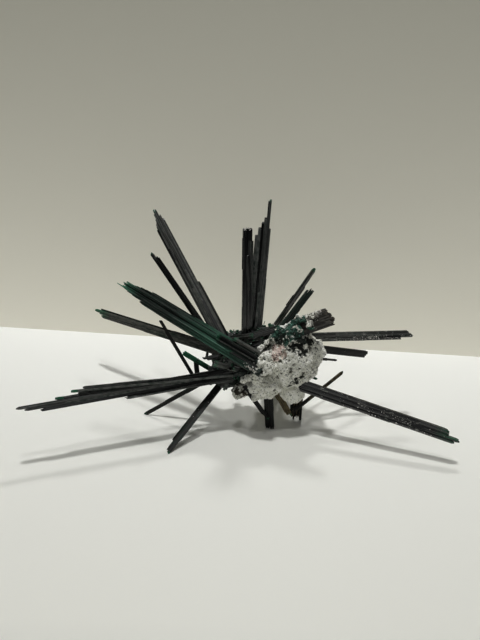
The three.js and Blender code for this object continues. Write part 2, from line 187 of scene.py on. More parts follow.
# %% Say what a crystal is
@dataclass
class Crystal:
    """A crystal's own axes, from its root, and how far it goes along each of them."""
    root: Vector
    along: Vector
    across: Vector
    outward: Vector
    length: float
    width: float
    thickness: float

    def point(self, across, outward, along):
        """The point that lies so far from the root along each of the axes."""
        return self.root + self.across * across + self.outward * outward + self.along * along


# %% Find the way that a crystal's broad side looks
TURNS = 90
FRONT = Vector((0, -1, 0.3))  # to the front and a little up


def span(corners, axis):
    """How far corners reach along an axis, to both sides."""
    places = [corner.dot(axis) for corner in corners]
    return min(places), max(places)


def broad_way(corners, along):
    """The way that the broad side of a crystal looks: along the thin way of its tightest box."""
    start = along.orthogonal().normalized()
    best, broad = math.inf, start
    for turn in range(TURNS):
        way = Matrix.Rotation(math.pi * turn / TURNS, 3, along) @ start
        back, front = span(corners, way)
        left, right = span(corners, way.cross(along))
        area = (front - back) * (right - left)
        if front - back <= right - left and area < best:
            best, broad = area, way
    return broad if broad.dot(FRONT) > 0 else -broad


# %% Read every crystal from its solid
def crystal_from(group):
    """The crystal whose long edges are in a group, with its root at the end that is nearer the hub."""
    along = sum((b - a for a, b in group), Vector()).normalized()
    corners = [corner for pair in group for corner in pair]
    middle = sum(corners, Vector()) / len(corners)
    if (middle - hub).dot(along) < 0:
        along = -along
    outward = broad_way(corners, along)
    across = outward.cross(along)
    left, right = span(corners, across)
    back, front = span(corners, outward)
    start, end = span(corners, along)
    root = across * (left + right) / 2 + outward * (back + front) / 2 + along * start
    return Crystal(root, along, across, outward, end - start, right - left, front - back)


def crystals_in(node):
    """The skin of a node's solid as a tree for casting rays, and the crystals found in it."""
    skin = skin_of(node)
    tree = BVHTree.FromBMesh(skin)
    groups = parallel_groups(skin, LOOSE_WAY.get(node, SAME_WAY))
    found = [crystal_from(group) for group in groups]
    skin.free()
    return tree, [crystal for crystal in found if crystal.length > crystal.width]


ROCKY = ("rock_matrix", "root_cluster")  # the nodes that aren't single crystals
crystal_nodes = [node for node in slot_of if node not in ROCKY]
solids = {node: crystals_in(node) for node in crystal_nodes}
for node, (_, found) in solids.items():
    print(node, [round(crystal.length / MM, 1) for crystal in found])

# %% [markdown]
# ## Splitting a crystal into laths
#
# Close up, a blade of this mineral is a bundle of thin laths that lie side by side and on top
# of each other. Each ends where it likes, so the tips are stepped and jagged, and each leans a
# little, so light catches some and not others. That is what draws the fine stripes on it.
#
# A displacement texture could fake the stripes, but not the tips. So every lath is made as a
# thin prism of its own. Rays cast inside the plain solid tell where its faces and its end are,
# so the bundle follows the solid's form.

# %% Measure a solid with rays
STATIONS = (0.14, 0.22, 0.3, 0.45, 0.6)


def reach(tree, start, way):
    """How far it is from a point inside a solid to its skin, or None from outside it."""
    place, normal, _, distance = tree.ray_cast(start, way)
    if place is None or normal.dot(way) <= 0:
        return None
    return distance


def depth_at(tree, crystal, across, stations):
    """The back, the front and a station that lies inside, for a line along the crystal."""
    fronts, backs, inside = [], [], None
    for share in stations:
        start = crystal.point(across, 0, share * crystal.length)
        front = reach(tree, start, crystal.outward)
        back = reach(tree, start, -crystal.outward)
        if front is None or back is None:
            continue
        fronts.append(front)
        backs.append(back)
        inside = inside or share * crystal.length
    if inside is None:
        return None
    return -min(backs), min(fronts), inside


# %% Say how each kind of crystal is split
@dataclass
class Habit:
    """How a crystal is split into laths. Lengths are in millimetres."""
    narrowest: float = 0.22  # the least width of a lath
    widest: float = 0.8  # and its greatest
    layer: float = 0.85  # how thick a layer of laths is
    ragged: float = 1.0  # how unevenly the laths end
    slant: float = 0.9  # how far an end may be from square, per millimetre of width
    ridge: float = 0.42  # how fast a face may fall away from its ridge
    uneven: float = 0.09  # how deep a lath may lie under its neighbours
    slivers: float = 2.6  # how many slivers lie on it, per millimetre of width
    taper: float = 1.2  # over what length an end narrows
    point: float = 0.45  # the share of its width that is left at the tip
    green_tip: float = 1.6  # how far back from the tip the green reaches
    green_middle: float = 0.0  # how far from the root a second green stretch lies, if it has one
    slope: float = 3.0  # how much shorter the laths get to the sides, per millimetre
    fall: float = 4.5  # the longest step at the end that becomes such a slope
    lag: float = 99.0  # how much sooner a layer may end than the middle one
    grown: tuple = ()  # strips, each from and to across it, and how far their ends are moved on
    tones: tuple = (0.0, 1.0)  # the lowest and the highest tone that its laths may draw


# %% List the crystals that have a habit of their own
habits = {
    "green_front_blade": [Habit(widest=0.42, ragged=0.8, slant=2.0, ridge=0.2, uneven=0.2, slivers=5,
                                taper=2.6, point=0.3, green_tip=9, green_middle=18, slope=8, fall=30,
                                lag=1.5, grown=((-4.0, 4.0, 1.2),))],
    "long_left_blade": [Habit(ragged=0.4, slant=1.2, taper=1.2, slivers=3.4, green_tip=0.4, lag=1.5,
                              grown=((-0.5, 0.15, 6.0), (0.15, 1.15, 11.8))),
                        Habit(ragged=0.3, slant=0.6, taper=0.8, slivers=3.4, point=0.7, slope=0.6,
                              fall=9, lag=0.8, green_tip=0.4)],
    "tall_left_blade": [Habit(widest=0.8, ragged=0.15, slant=1.2, taper=1.2, point=0.7, slivers=4, fall=9,
                              grown=((-0.6, 0.6, 0.9),), tones=(0.2, 1.0))],
    "slim_left_blade": [Habit(widest=0.5, ragged=0.2, taper=1.0, point=0.6, slivers=1, lag=0.5,
                              tones=(0.0, 0.5))],
    "back_left_blade": [Habit(widest=1.1, ragged=0.3, slant=1.6, taper=1.4, point=0.5, green_tip=9,
                              slope=2.5, fall=26, lag=3, tones=(0.25, 1.0))],
    "twin_uprights": [Habit(widest=1.2, ragged=0.3, slant=0.5, taper=0.4, point=0.9, slivers=3,
                            slope=2, fall=3, tones=(0.2, 1.0)),
                      Habit(widest=1.2, ragged=0.1, slant=0.5, taper=0.2, point=0.9, slivers=3,
                            slope=0.5, tones=(0.0, 0.3))],
    "crossing_stubs": [Habit(ragged=0.2, taper=0.5, point=0.8, tones=(0.0, 0.3), green_tip=0.5),
                       Habit(ragged=0.1, slant=0.3, taper=0.3, point=0.85, green_tip=14, slope=0.5, lag=0.5,
                             tones=(0.6, 1.0)),
                       Habit(ragged=0.2, taper=0.5, point=0.8, tones=(0.0, 0.3))],
    "short_right_blade": [Habit(ragged=0.05, slant=0.3, point=0.9, slope=0.5, fall=9, lag=0.3,
                                tones=(0.0, 0.4))],
    "long_right_blade": [Habit(widest=1.3, ragged=0.3, tones=(0.0, 0.25), green_tip=6, slope=1, lag=1,
                               grown=((-2.0, -0.8, 2.4), (-0.8, 0.1, 3.1), (0.1, 2.0, 0.2)))],
    "level_right_blade": [Habit(ragged=0.3, taper=0.4, point=0.8, slope=0.5, fall=0.1, tones=(0.25, 0.9),
                                green_tip=0.6)],
    "brown_stub": [Habit(narrowest=0.16, widest=0.5, layer=0.55, ragged=0.6, ridge=0.4, uneven=0.16,
                         taper=0.4, point=0.85, slope=0.5)],
    "middle_leg": [Habit(ragged=0.5, slope=0.5, fall=7, tones=(0.0, 0.3), green_tip=0.1)],
    "foot_plate": [Habit(ragged=0.4, tones=(0.0, 0.4)),
                   Habit(ragged=0.9, slant=0.9, widest=0.6, tones=(0.6, 1.0)),
                   Habit(ragged=0.9, slant=0.9, widest=0.6, tones=(0.0, 0.3))],
}
print("crystals with habits of their own:", sum(len(own) for own in habits.values()))

# %% Draw a lath's cross-section and its faces
RIDGE_BETWEEN = (0.12, 0.88)  # where a ridge may run, as shares of the lath's width
DEEPEST_FALL = 0.35  # how far a face may fall from it, as a share of the lath's thickness


def section(rand, left, right, back, front, habit):
    """Six corners: a lath has a ridge on its front and its back, and lower edges."""
    wide, thick = right - left, front - back
    corners = []
    for level, way in ((back, 1), (front, -1)):
        ridge = left + wide * rand.uniform(*RIDGE_BETWEEN)
        slope = habit.ridge * rand.uniform(0.05, 1)
        falls = [min(slope * side, thick * DEEPEST_FALL) for side in (ridge - left, right - ridge)]
        row = [(left, level + way * falls[0]), (ridge, level), (right, level + way * falls[1])]
        corners += row if way > 0 else row[::-1]
    return corners


def ring_faces(first, rings, count):
    """The faces between rings of so many corners each, and the two at the ends."""
    faces = [[first + i for i in reversed(range(count))]]
    for ring in range(first, first + (rings - 1) * count, count):
        for i in range(count):
            j = (i + 1) % count
            faces.append([ring + i, ring + j, ring + count + j, ring + count + i])
    faces.append([first + (rings - 1) * count + i for i in range(count)])
    return faces


# %% Draw one lath
WAVE_LENGTH = 5.0 * MM
WAVE = 0.012 * MM
LONGEST_TAPER = 0.4  # the greatest share of a lath's length that narrows
LONGEST_CUT = 0.15 * MM  # how far a slanting end may reach past the lath's length
GREEN_REACH = 16  # how far a second green stretch goes to either side, in millimetres
GREENEST = 0.45  # the tip mark in the middle of that stretch: 0 is at a tip, 1 is not green


class Bundle:
    """Collects laths as points and faces, with the marks that their surface needs later."""

    def __init__(self, seed):
        self.random = random.Random(seed)
        self.points, self.faces = [], []
        self.marks = {"grain": [], "tip": [], "lath": []}

    def lath(self, crystal, left, right, back, front, start, end, habit):
        """A prism that wavers slightly and narrows to a slanting end."""
        rand = self.random
        corners = section(rand, left, right, back, front, habit)
        middle, centre = (left + right) / 2, (back + front) / 2
        slant = habit.slant * rand.uniform(-1, 1)
        bevel = habit.slant * rand.uniform(-0.6, 0.6)
        point = habit.point + (1 - habit.point) * rand.random() ** 2
        taper = min(habit.taper * MM * rand.uniform(0.4, 1), (end - start) * LONGEST_TAPER)
        steps = max(1, round((end - taper - start) / WAVE_LENGTH))
        places = [start + (end - taper - start) * step / steps for step in range(steps + 1)]
        places.append(end)
        first = len(self.points)
        tone = rand.uniform(*habit.tones)
        drift = Vector((rand.uniform(-9, 9), rand.uniform(-9, 9), rand.uniform(-90, 90)))
        for place in places:
            shift = rand.uniform(-1, 1) * WAVE
            narrow = point if place == end else 1.0
            for across, outward in corners:
                across = middle + (across - middle) * narrow
                outward = centre + (outward - centre) * narrow
                cut = slant * (across - middle) + bevel * (outward - front) if place == end else 0.0
                cut = max(-0.9 * taper, min(LONGEST_CUT, cut))
                self.add_point(crystal, across, outward + shift, place + cut, habit, drift)
        self.marks["lath"] += [tone] * (len(self.points) - first)
        self.faces += ring_faces(first, len(places), len(corners))

    def add_point(self, crystal, across, outward, along, habit, drift):
        """A point of a lath, which stops at the floor, and what its surface needs to know there."""
        point = crystal.point(across, outward, along)
        if point.z < 0:
            point -= crystal.along * (point.z / crystal.along.z)
        self.points.append(point)
        self.marks["grain"].append(Vector((across, outward, along)) / MM + drift)
        to_tip = (crystal.length - along) / (habit.green_tip * MM)
        if habit.green_middle:
            away = abs(along / MM - habit.green_middle) / GREEN_REACH
            to_tip = min(to_tip, GREENEST + (1 - GREENEST) * away)
        self.marks["tip"].append(to_tip)

    def mesh(self, name):
        """All the laths as one mesh, with its marks."""
        made = bpy.data.meshes.new(name)
        made.from_pydata(self.points, [], self.faces)
        kinds = {"grain": ("FLOAT_VECTOR", "vector"), "tip": ("FLOAT", "value"), "lath": ("FLOAT", "value")}
        for mark, (kind, field) in kinds.items():
            stored = made.attributes.new(mark, kind, "POINT")
            stored.data.foreach_set(field, np.array(self.marks[mark], np.float32).ravel())
        return made


# %% [markdown]
# ## Where the laths end
#
# A plain solid has a few broad steps at its end. On the real crystal there are many more and finer
# ones, so the end is a slope or a row of points. The rays find where the solid's end steps. A cut
# between two laths is moved onto each step, and the laths beside it are made longer, the less so
# the farther they lie from the long ones. Where the bundle ends in separate points, a large step
# is kept, or a strip of laths is moved on by a set length.
#
# Cutting a finished bundle with a slanting plane would be simpler, but it would leave one flat
# face, and these crystals don't show one.

# %% Cut a crystal from side to side
def cuts_across(crystal, habit, rand):
    """The places where a crystal is split from side to side, at uneven widths."""
    places = [-crystal.width / 2]
    while places[-1] < crystal.width / 2 - habit.narrowest * MM * 1.5:
        wide = habit.narrowest + (habit.widest - habit.narrowest) * rand.random() ** 2
        places.append(min(places[-1] + wide * MM, crystal.width / 2))
    places[-1] = crystal.width / 2
    return places


# %% Find where the solid ends
LOOK_EVERY = 0.12 * MM
SAME_END = 0.7 * MM  # ends that differ by less than this are one level


def end_at(tree, crystal, across, outward, inside):
    """How far along the crystal its solid goes, on a line that starts inside it."""
    left = reach(tree, crystal.point(across, outward, inside), crystal.along)
    return None if left is None else inside + left


def longest_at(tree, crystal, across, stations):
    """How far along the solid goes on the middle line of its thickness there, or None."""
    depth = depth_at(tree, crystal, across, stations)
    if depth is None:
        return None
    back, front, inside = depth
    return end_at(tree, crystal, across, (back + front) / 2, inside) or inside


def step_places(tree, crystal, stations):
    """Where the solid's end jumps to another length, from side to side."""
    count = math.ceil(crystal.width / LOOK_EVERY)
    looks = [crystal.width * ((i + 0.5) / count - 0.5) for i in range(count)]
    seen = [(place, longest_at(tree, crystal, place, stations)) for place in looks]
    seen = [(place, end) for place, end in seen if end is not None]
    pairs = zip(seen, seen[1:])
    return [(a + b) / 2 for (a, first), (b, second) in pairs if abs(first - second) > SAME_END]


# %% Cut it into columns that fit those steps
def snapped(places, steps):
    """Moves the nearest cut onto each step, so that no lath straddles it."""
    for step in steps:
        inner = range(1, len(places) - 1)
        if inner:
            nearest = min(inner, key=lambda i: abs(places[i] - step))
            places[nearest] = step
    return sorted(places)


def columns_of(tree, crystal, habit, rand, stations):
    """The columns that a crystal is cut into, each with its sides and its depth, and their ends."""
    places = snapped(cuts_across(crystal, habit, rand), step_places(tree, crystal, stations))
    columns, ends = [], []
    for left, right in zip(places, places[1:]):
        middle = (left + right) / 2
        depth = depth_at(tree, crystal, middle, stations)
        if depth:
            columns.append((left, right, *depth))
            ends.append(longest_at(tree, crystal, middle, stations))
    return columns, ends


# %% Turn the steps at its end into slopes
def levels_of(columns, ends):
    """Neighbouring columns that end together, as one level: from, to, and its end."""
    levels = []
    for (left, right, *_), end in zip(columns, ends):
        if levels and abs(levels[-1][2] - end) < SAME_END:
            levels[-1][1] = right
        else:
            levels.append([left, right, end])
    return levels


def shifts_of(columns, ends, habit):
    """How much further each column goes than the solid does."""
    levels = levels_of(columns, ends)
    shifts = []
    for (left, right, *_), end in zip(columns, ends):
        middle = (left + right) / 2
        near = [level for level in levels if abs(level[2] - end) < habit.fall * MM + SAME_END]
        reached = [top - habit.slope * abs(middle - (first + last) / 2) for first, last, top in near]
        grown = sum(more for first, last, more in habit.grown if first * MM < middle < last * MM)
        shifts.append(max(reached) - end + grown * MM)
    return shifts


# %% Fill a crystal with laths
OVERLAP = 0.01 * MM  # how far laths reach into their neighbours
FULLY_RAGGED = 20 * MM  # a shorter crystal ends less raggedly than its habit says
NEAR_FLOOR = 0.4 * MM  # a lath whose solid ends lower than this stands on the floor
DEEPEST_SINK = 0.4  # how far an outer layer may sink, as a share of its thickness


def fill_column(bundle, tree, crystal, habit, column, longest, shift):
    """Fills one column with layers of laths. Those that stand on the floor all reach it."""
    rand = bundle.random
    left, right, back, front, inside = column
    layers = max(1, round((front - back) / (habit.layer * MM)))
    thick = (front - back) / layers
    drop = rand.random() ** 2 * habit.ragged * MM
    for layer in range(layers):
        level = back + thick * (layer + 0.5)
        end = end_at(tree, crystal, (left + right) / 2, level, inside)
        if end is None:
            continue
        end = max(end, longest - habit.lag * MM)
        jag = drop + rand.random() ** 3 * habit.ragged * MM
        jag *= min(1.0, crystal.length / FULLY_RAGGED)
        stands = crystal.point(0, 0, end).z < NEAR_FLOOR
        sinks = [min(rand.random() * habit.uneven * MM, thick * DEEPEST_SINK) for _ in range(2)]
        low = level - thick / 2 - OVERLAP + (sinks[0] if layer == 0 else 0)
        high = level + thick / 2 + OVERLAP - (sinks[1] if layer == layers - 1 else 0)
        finish = end if stands else end + shift - jag
        bundle.lath(crystal, left - OVERLAP, right + OVERLAP, low, high, 0.0, finish, habit)


# %% Lay slivers on its faces
SHORTEST_SLIVER = 2 * MM
SLIVER_DEPTH = 0.2 * MM  # how far a sliver goes into the laths under it
SLIVER_PROUD = (0.02, 0.08)  # and out of them, in millimetres
SLIVER_ENDS = (-0.1, 0.97)  # where one may start or end, as shares of the crystal's length
ON_FRONT = 0.6  # the share of the slivers that lie on the front


def lay_slivers(bundle, tree, crystal, columns, habit):
    """Thin laths that cover only a part of the crystal's length, on its front and its back."""
    rand = bundle.random
    for _ in range(round(habit.slivers * crystal.width / MM)):
        left, right, back, front, inside = rand.choice(columns)
        end = end_at(tree, crystal, (left + right) / 2, (back + front) / 2, inside)
        if end is None:
            continue
        start, finish = sorted(rand.uniform(*SLIVER_ENDS) * end for _ in range(2))
        start = max(start, 0)
        if finish - start < SHORTEST_SLIVER:
            continue
        proud = rand.uniform(*SLIVER_PROUD) * MM
        aside = rand.uniform(-0.3, 0.3) * (right - left)
        if rand.random() < ON_FRONT:
            low, high = front - SLIVER_DEPTH, front + proud
        else:
            low, high = back - proud, back + SLIVER_DEPTH
        bundle.lath(crystal, left + aside, right + aside, low, high, start, finish, habit)


# %% Split a whole crystal
def split(bundle, tree, crystal, habit, stations=STATIONS):
    """Fills a crystal's solid with laths in layers, and lays slivers on its faces."""
    columns, ends = columns_of(tree, crystal, habit, bundle.random, stations)
    for column, longest, shift in zip(columns, ends, shifts_of(columns, ends, habit)):
        fill_column(bundle, tree, crystal, habit, column, longest, shift)
    if columns:
        lay_slivers(bundle, tree, crystal, columns, habit)


# %% Make every crystal
FIRST_SEED = 100


def make_crystal(order, node):
    """The bundle of laths that takes the place of a node's crystal, or of its several crystals."""
    tree, found = solids[node]
    bundle = Bundle(seed=FIRST_SEED + order)
    own = habits.get(node, [Habit()])
    for which, crystal in enumerate(found):
        split(bundle, tree, crystal, own[min(which, len(own) - 1)])
    piece = new_piece(node + "_laths", bundle.mesh(node + "_laths"))
    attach(piece, "root")
    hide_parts(node)
    return piece


crystal_pieces = {node: make_crystal(order, node) for order, node in enumerate(crystal_nodes)}
for node, piece in crystal_pieces.items():
    print(node, len(piece.data.polygons), "faces")

# %% [markdown]
# ## The rock's lumps and pits
#
# The rock is crumbly: lumps of a millimetre or two, covered in finer grain, with pits between
# them. A bump map would leave its outline smooth, and the outline is where a rock gives itself
# away. So the solid is remeshed into even, small squares, and each corner is moved in or out
# by noise of several sizes. The pits come from Voronoi cells: a cell that is chosen by chance
# gets a bowl round its middle.

# %% Make a knobbly lump
KNOBS = 9


def add_ball(skin, centre, radii):
    """Adds a ball, stretched to its radii, to a skin."""
    place = Matrix.Translation(centre) @ Matrix.Diagonal((*radii, 1))
    bmesh.ops.create_icosphere(skin, subdivisions=2, radius=1, matrix=place)


def add_lump(skin, centre, radius, rand):
    """A knobbly lump: a ball with smaller ones all over it. Lengths are in millimetres."""
    centre, radius = Vector(centre) * MM, radius * MM
    add_ball(skin, centre, [radius * rand.uniform(0.6, 0.8) for _ in range(3)])
    for _ in range(KNOBS):
        way = Vector([rand.gauss(0, 1) for _ in range(3)]).normalized()
        small = radius * rand.uniform(0.25, 0.5)
        add_ball(skin, centre + way * (radius - small), [small * rand.uniform(0.8, 1.2) for _ in range(3)])


# %% Remesh a solid into small even faces
LUMP_SEED = 5


def fine_skin(name, node, voxel, lumps=()):
    """A finely and evenly faceted mesh of a node's solid, with more lumps grown onto it."""
    rand = random.Random(LUMP_SEED)
    skin = skin_of(node)
    for centre, radius in lumps:
        add_lump(skin, centre, radius, rand)
    coarse = bpy.data.meshes.new(name)
    skin.to_mesh(coarse)
    skin.free()
    piece = new_piece(name, coarse)
    remesh = piece.modifiers.new("remesh", "REMESH")
    remesh.mode = "VOXEL"
    remesh.voxel_size = voxel
    depsgraph = bpy.context.evaluated_depsgraph_get()
    piece.data = bpy.data.meshes.new_from_object(piece.evaluated_get(depsgraph))
    piece.modifiers.clear()
    return piece


# %% Hold the skin where a crystal leaves it
def joined_tree(nodes):
    """One tree for casting rays at, of the solids of several nodes."""
    points, faces = [], []
    for node in nodes:
        mesh = frame["nodes"][node].data
        first = len(points)
        points += [vertex.co.copy() for vertex in mesh.vertices]
        faces += [[first + i for i in polygon.vertices] for polygon in mesh.polygons]
    return BVHTree.FromPolygons(points, faces)


crystal_tree = joined_tree(crystal_nodes)
CLING_WITHIN = 0.6 * MM  # nearer than this, the skin lies on the crystal
CLING_FADES = 1.3 * MM  # farther than this, it lies free
CLING_DEPTH = 0.15 * MM  # how far it goes under the crystal's face


def cling(point):
    """Where the skin lies that has grown onto a crystal, and how much it is held there."""
    place, facing, _, distance = crystal_tree.find_nearest(point, CLING_FADES)
    if place is None:
        return point, 0.0
    held = min(1.0, (CLING_FADES - distance) / (CLING_FADES - CLING_WITHIN))
    return point.lerp(place - facing * CLING_DEPTH, held ** 2), held


# %% Shape the noise of a crumbly surface
WOBBLE, WOBBLE_SIZE = 0.35, 1.6  # how uneven the edge of a place is, and on what scale
PIT_WIDTH = (0.3, 0.35)  # the least radius of a pit and how much is added, as shares of its cell
SHUFFLE = 31.7  # takes the draw for a Voronoi cell from far away, so that neighbours differ


def fractal(point, size, octaves=3):
    """Soft noise of about -1 to 1, whose largest lumps are of that size, in millimetres."""
    return noise.fractal(point / (size * MM), 1.0, 2.1, octaves, noise_basis="PERLIN_ORIGINAL")


def bowl(point, size, chance, depth):
    """Depth of the pits that Voronoi cells of a size give at a point, in millimetres."""
    distances, centres = noise.voronoi(point / (size * MM))
    pick = noise.cell(centres[0] * SHUFFLE)
    if pick > chance:
        return 0.0
    wide = PIT_WIDTH[0] + PIT_WIDTH[1] * pick / chance
    share = max(0.0, 1 - (distances[0] / wide) ** 2)
    return depth * share


def nearness(point, places, blur=0.6):
    """From 0 to 1: how much a point belongs to places, each a centre and a radius."""
    best = 0.0
    wobble = WOBBLE * fractal(point, WOBBLE_SIZE)
    for centre, radius in places:
        away = (point / MM - Vector(centre)).length / radius + wobble
        best = max(best, min(1.0, max(0.0, (1 + blur - away) / (2 * blur))))
    return best


# %% Say where the rock is smooth, stained or crusted
# Each place is a centre and a radius, in millimetres.
rock_smooth = [((17, -11, 13), 6.5), ((6, -13, 14.5), 4.5), ((13, -13, 17), 3)]
rock_green = [
    ((14.5, -8, 36), 3.6), ((11.6, -9, 33.6), 3.2), ((17, -9.5, 37), 2.2), ((19.6, -11, 34.6), 2.0),
    ((12.8, -11.4, 31.6), 1.4), ((21, 4, 33), 3.5), ((12, 12, 28), 3), ((14.5, -11.3, 34.1), 2.4),
    ((16.8, -11.6, 33.4), 2.2), ((9.8, -9.3, 33.1), 2.2), ((18.4, -11.6, 31.8), 1.6),
]
rock_pink = [
    ((11.2, -12.0, 29.6), 1.8), ((9.4, -10.6, 29.0), 1.6), ((9.6, -13.0, 27.0), 1.8),
    ((11.6, -12.8, 28.2), 1.6),
]
# Black grains. The last three places lie along a crevice, and the darkness there is painted shade.
rock_dark_grains_and_crevice_shade = [
    ((16.8, -11.6, 31), 2.4), ((14.8, -12.6, 29.8), 1.5), ((20.4, -10.8, 31.6), 2.0),
    ((18.4, -12.4, 28.8), 1.4), ((23, -8, 31), 1.4), ((17.6, 5, 34), 2.4),
    ((7.8, -10.0, 29.4), 1.3), ((11.4, -10.4, 31.6), 1.5), ((16.6, -13.1, 19.3), 1.2),
    ((18.7, -13.2, 20.7), 1.0), ((14.6, -12.8, 17.3), 1.0),
]
rock_brown = [
    ((-0.8, -11.8, 13.8), 2.6), ((1.6, -12.4, 14.0), 1.9), ((-1.6, -9.4, 15.4), 1.8), ((9, 13, 17), 2.5),
]
stains_and_shade = {"pink": rock_pink, "dark": rock_dark_grains_and_crevice_shade, "brown": rock_brown}
print("stained places:", {name: len(places) for name, places in stains_and_shade.items()})

# %% List the lumps that grow on the rock
# Each is a centre and a radius, in millimetres. Where the rock has grown over the crystals, its
# skin isn't held back by them.
rock_lumps = [
    ((7.6, -13.0, 23.6), 3.0), ((5.0, -14.4, 22.4), 1.9), ((6.6, -14.6, 25.6), 1.8),
    ((8.2, -12.2, 27.2), 2.0), ((5.0, -14.9, 25.6), 1.2), ((5.4, -14.0, 27.2), 1.1),
    ((4.6, -15.3, 24.0), 1.1), ((3.9, -15.2, 22.6), 1.1), ((7.4, -14.8, 24.6), 2.5),
    ((6.2, -15.2, 22.4), 1.7), ((8.0, -14.0, 26.8), 1.7), ((5.2, -15.0, 20.8), 1.3),
    ((18.6, -9.2, 38.6), 1.0), ((19.5, -9.4, 39.6), 0.8), ((20.4, -9.3, 40.3), 0.6),
    ((21.4, -9.5, 40.9), 0.45), ((20.3, -10.4, 39.2), 0.55), ((19.3, -10.9, 36.6), 0.9),
    ((20.2, -11.2, 35.6), 0.7), ((3.6, -14.0, 20.9), 1.5), ((1.8, -13.2, 19.6), 1.2),
    ((0.4, -12.4, 18.6), 1.0), ((4.6, -12.6, 18.6), 2.0), ((7.2, -9.8, 30.0), 1.4),
    ((5.2, -10.8, 29.0), 1.2), ((4.4, -11.8, 27.6), 1.0), ((9.0, -9.2, 31.6), 1.0),
    ((19.6, -9.6, 36.8), 1.5), ((18.0, -8.6, 38.3), 1.3), ((21.0, -10.6, 35.8), 1.2),
    ((16.2, -8.0, 38.6), 1.0),
]
rock_over = [((6.0, -15.4, 24.6), 4.2), ((19.6, -9.8, 39.4), 2.6)]
print("lumps on the rock:", len(rock_lumps))

# %% Shape the rock's crumbs and pits
LUMP_SIZE, LUMP_HEIGHT = 2.8, 0.42
FOLD_SIZE, FOLD_HEIGHT = 1.3, 0.34
CRUMB_SIZE, CRUMB_HEIGHT = 0.75, 0.26
PITS = ((1.9, 0.5, 0.7), (1.1, 0.55, 0.45), (0.7, 0.4, 0.25))  # size, share of the cells, depth
BUD_SIZE, BUD_HEIGHT = 0.9, 0.35
WORN = 0.7  # how much of the roughness a smooth place has lost


def crumb_height(point, smooth, green):
    """How far the crumbly surface lies out or in at a point, and how deep its pits are there."""
    rough = 1 - WORN * smooth
    lumps = LUMP_HEIGHT * fractal(point, LUMP_SIZE) + FOLD_HEIGHT * abs(fractal(point, FOLD_SIZE, 2))
    crumbs = CRUMB_HEIGHT * fractal(point, CRUMB_SIZE, 2)
    pits = sum(bowl(point, *pit) for pit in PITS)
    buds = BUD_HEIGHT * green * (0.5 - noise.voronoi(point / (BUD_SIZE * MM))[0][0])
    return rough * (lumps + crumbs - pits) + buds, rough * (pits - 0.5 * lumps - crumbs)


# %% Move the rock's skin in and out
ROCK_VOXEL = 0.24 * MM
PIT_MARK = 1.8  # how strongly the depth of a pit counts in its mark


def mark_points(mesh, marks):
    """Keeps a value for each of the mesh's points, for its material to read."""
    for name, values in marks.items():
        mesh.attributes.new(name, "FLOAT", "POINT").data.foreach_set("value", np.array(values, np.float32))


def shape_rock(piece):
    """Displaces the rock and records what its surface is at each point."""
    mesh = piece.data
    marks = {name: [] for name in ("pit", "green", *stains_and_shade)}
    moved = []
    for vertex in mesh.vertices:
        point = vertex.co.copy()
        green = nearness(point, rock_green)
        height, pit = crumb_height(point, nearness(point, rock_smooth), green)
        clung, held = cling(point)
        over = nearness(point, rock_over)
        held *= 1 - over
        moved.append(clung.lerp(point, over) + vertex.normal * height * MM * (1 - held))
        marks["pit"].append(min(1.0, max(0.0, pit * PIT_MARK)))
        marks["green"].append(green)
        for name, places in stains_and_shade.items():
            marks[name].append(nearness(point, places))
    mesh.vertices.foreach_set("co", np.array(moved, np.float32).ravel())
    mark_points(mesh, marks)


rock = fine_skin("rock_pitted", "rock_matrix", ROCK_VOXEL, rock_lumps)
shape_rock(rock)
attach(rock, "root")
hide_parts("rock_matrix")
print("rock:", len(rock.data.polygons), "faces")

# %% [markdown]
# ## The mass of roots
#
# Where the blades meet, hundreds of small crystals have grown through each other. A rough dark
# body fills the middle, and short laths bristle out of it on all sides. Each is placed on a
# point of the solid's skin that is drawn by chance, weighed by area, and points away from
# the middle, more or less.

# %% Roughen the body of the root mass
ROOT_VOXEL = 0.34 * MM
ROOT_SINK = 0.25
FACET_SIZE, FACET_HEIGHT = 1.6, 0.28
GRIT_SIZE, GRIT_HEIGHT = 0.6, 0.10
ROOT_PIT = (1.4, 0.4, 0.35)  # size, share of the cells, depth


def shape_roots(piece):
    """Sinks and roughens the body, so that the laths on it stand clear."""
    mesh = piece.data
    moved = []
    for vertex in mesh.vertices:
        point = vertex.co.copy()
        facets = FACET_HEIGHT * abs(fractal(point, FACET_SIZE, 2))
        grit = GRIT_HEIGHT * fractal(point, GRIT_SIZE, 2)
        height = facets + grit - bowl(point, *ROOT_PIT) - ROOT_SINK
        clung, held = cling(point)
        moved.append(clung + vertex.normal * height * MM * (1 - held))
    mesh.vertices.foreach_set("co", np.array(moved, np.float32).ravel())


root_body = fine_skin("root_body", "root_cluster", ROOT_VOXEL)
shape_roots(root_body)
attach(root_body, "root")
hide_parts("root_cluster")
print("root body:", len(root_body.data.polygons), "faces")

# %% List the larger crystals that lie in it
# Each has a root, a tip, a width and a thickness, in millimetres.
lying_crystals = [
    ((1.0, -7.6, 31.2), (11.0, -7.0, 34.2), 2.2, 1.5), ((-4.0, -7.0, 30.4), (3.0, -8.2, 32.0), 1.5, 1.0),
    ((-7.5, -6.5, 27.0), (-1.0, -9.6, 31.0), 1.6, 1.1), ((-1.0, -9.5, 20.5), (-9.0, -10.5, 23.0), 2.2, 1.2),
    ((2.0, -9.0, 27.5), (8.5, -8.6, 31.0), 1.5, 1.1), ((-9.5, -5.0, 21.0), (-2.5, -9.8, 26.0), 1.8, 1.2),
    ((3.8, -14.4, 26.9), (-8.2, -7.8, 31.1), 1.9, 1.0), ((4.4, -15.7, 24.6), (-4.5, -11.1, 27.8), 0.8, 0.7),
    ((5.0, -13.2, 28.2), (-3.0, -9.4, 31.2), 1.2, 0.9), ((4.6, -15.6, 22.4), (-6.2, -9.4, 25.2), 1.0, 0.9),
]
print("crystals lying in the root mass:", len(lying_crystals))

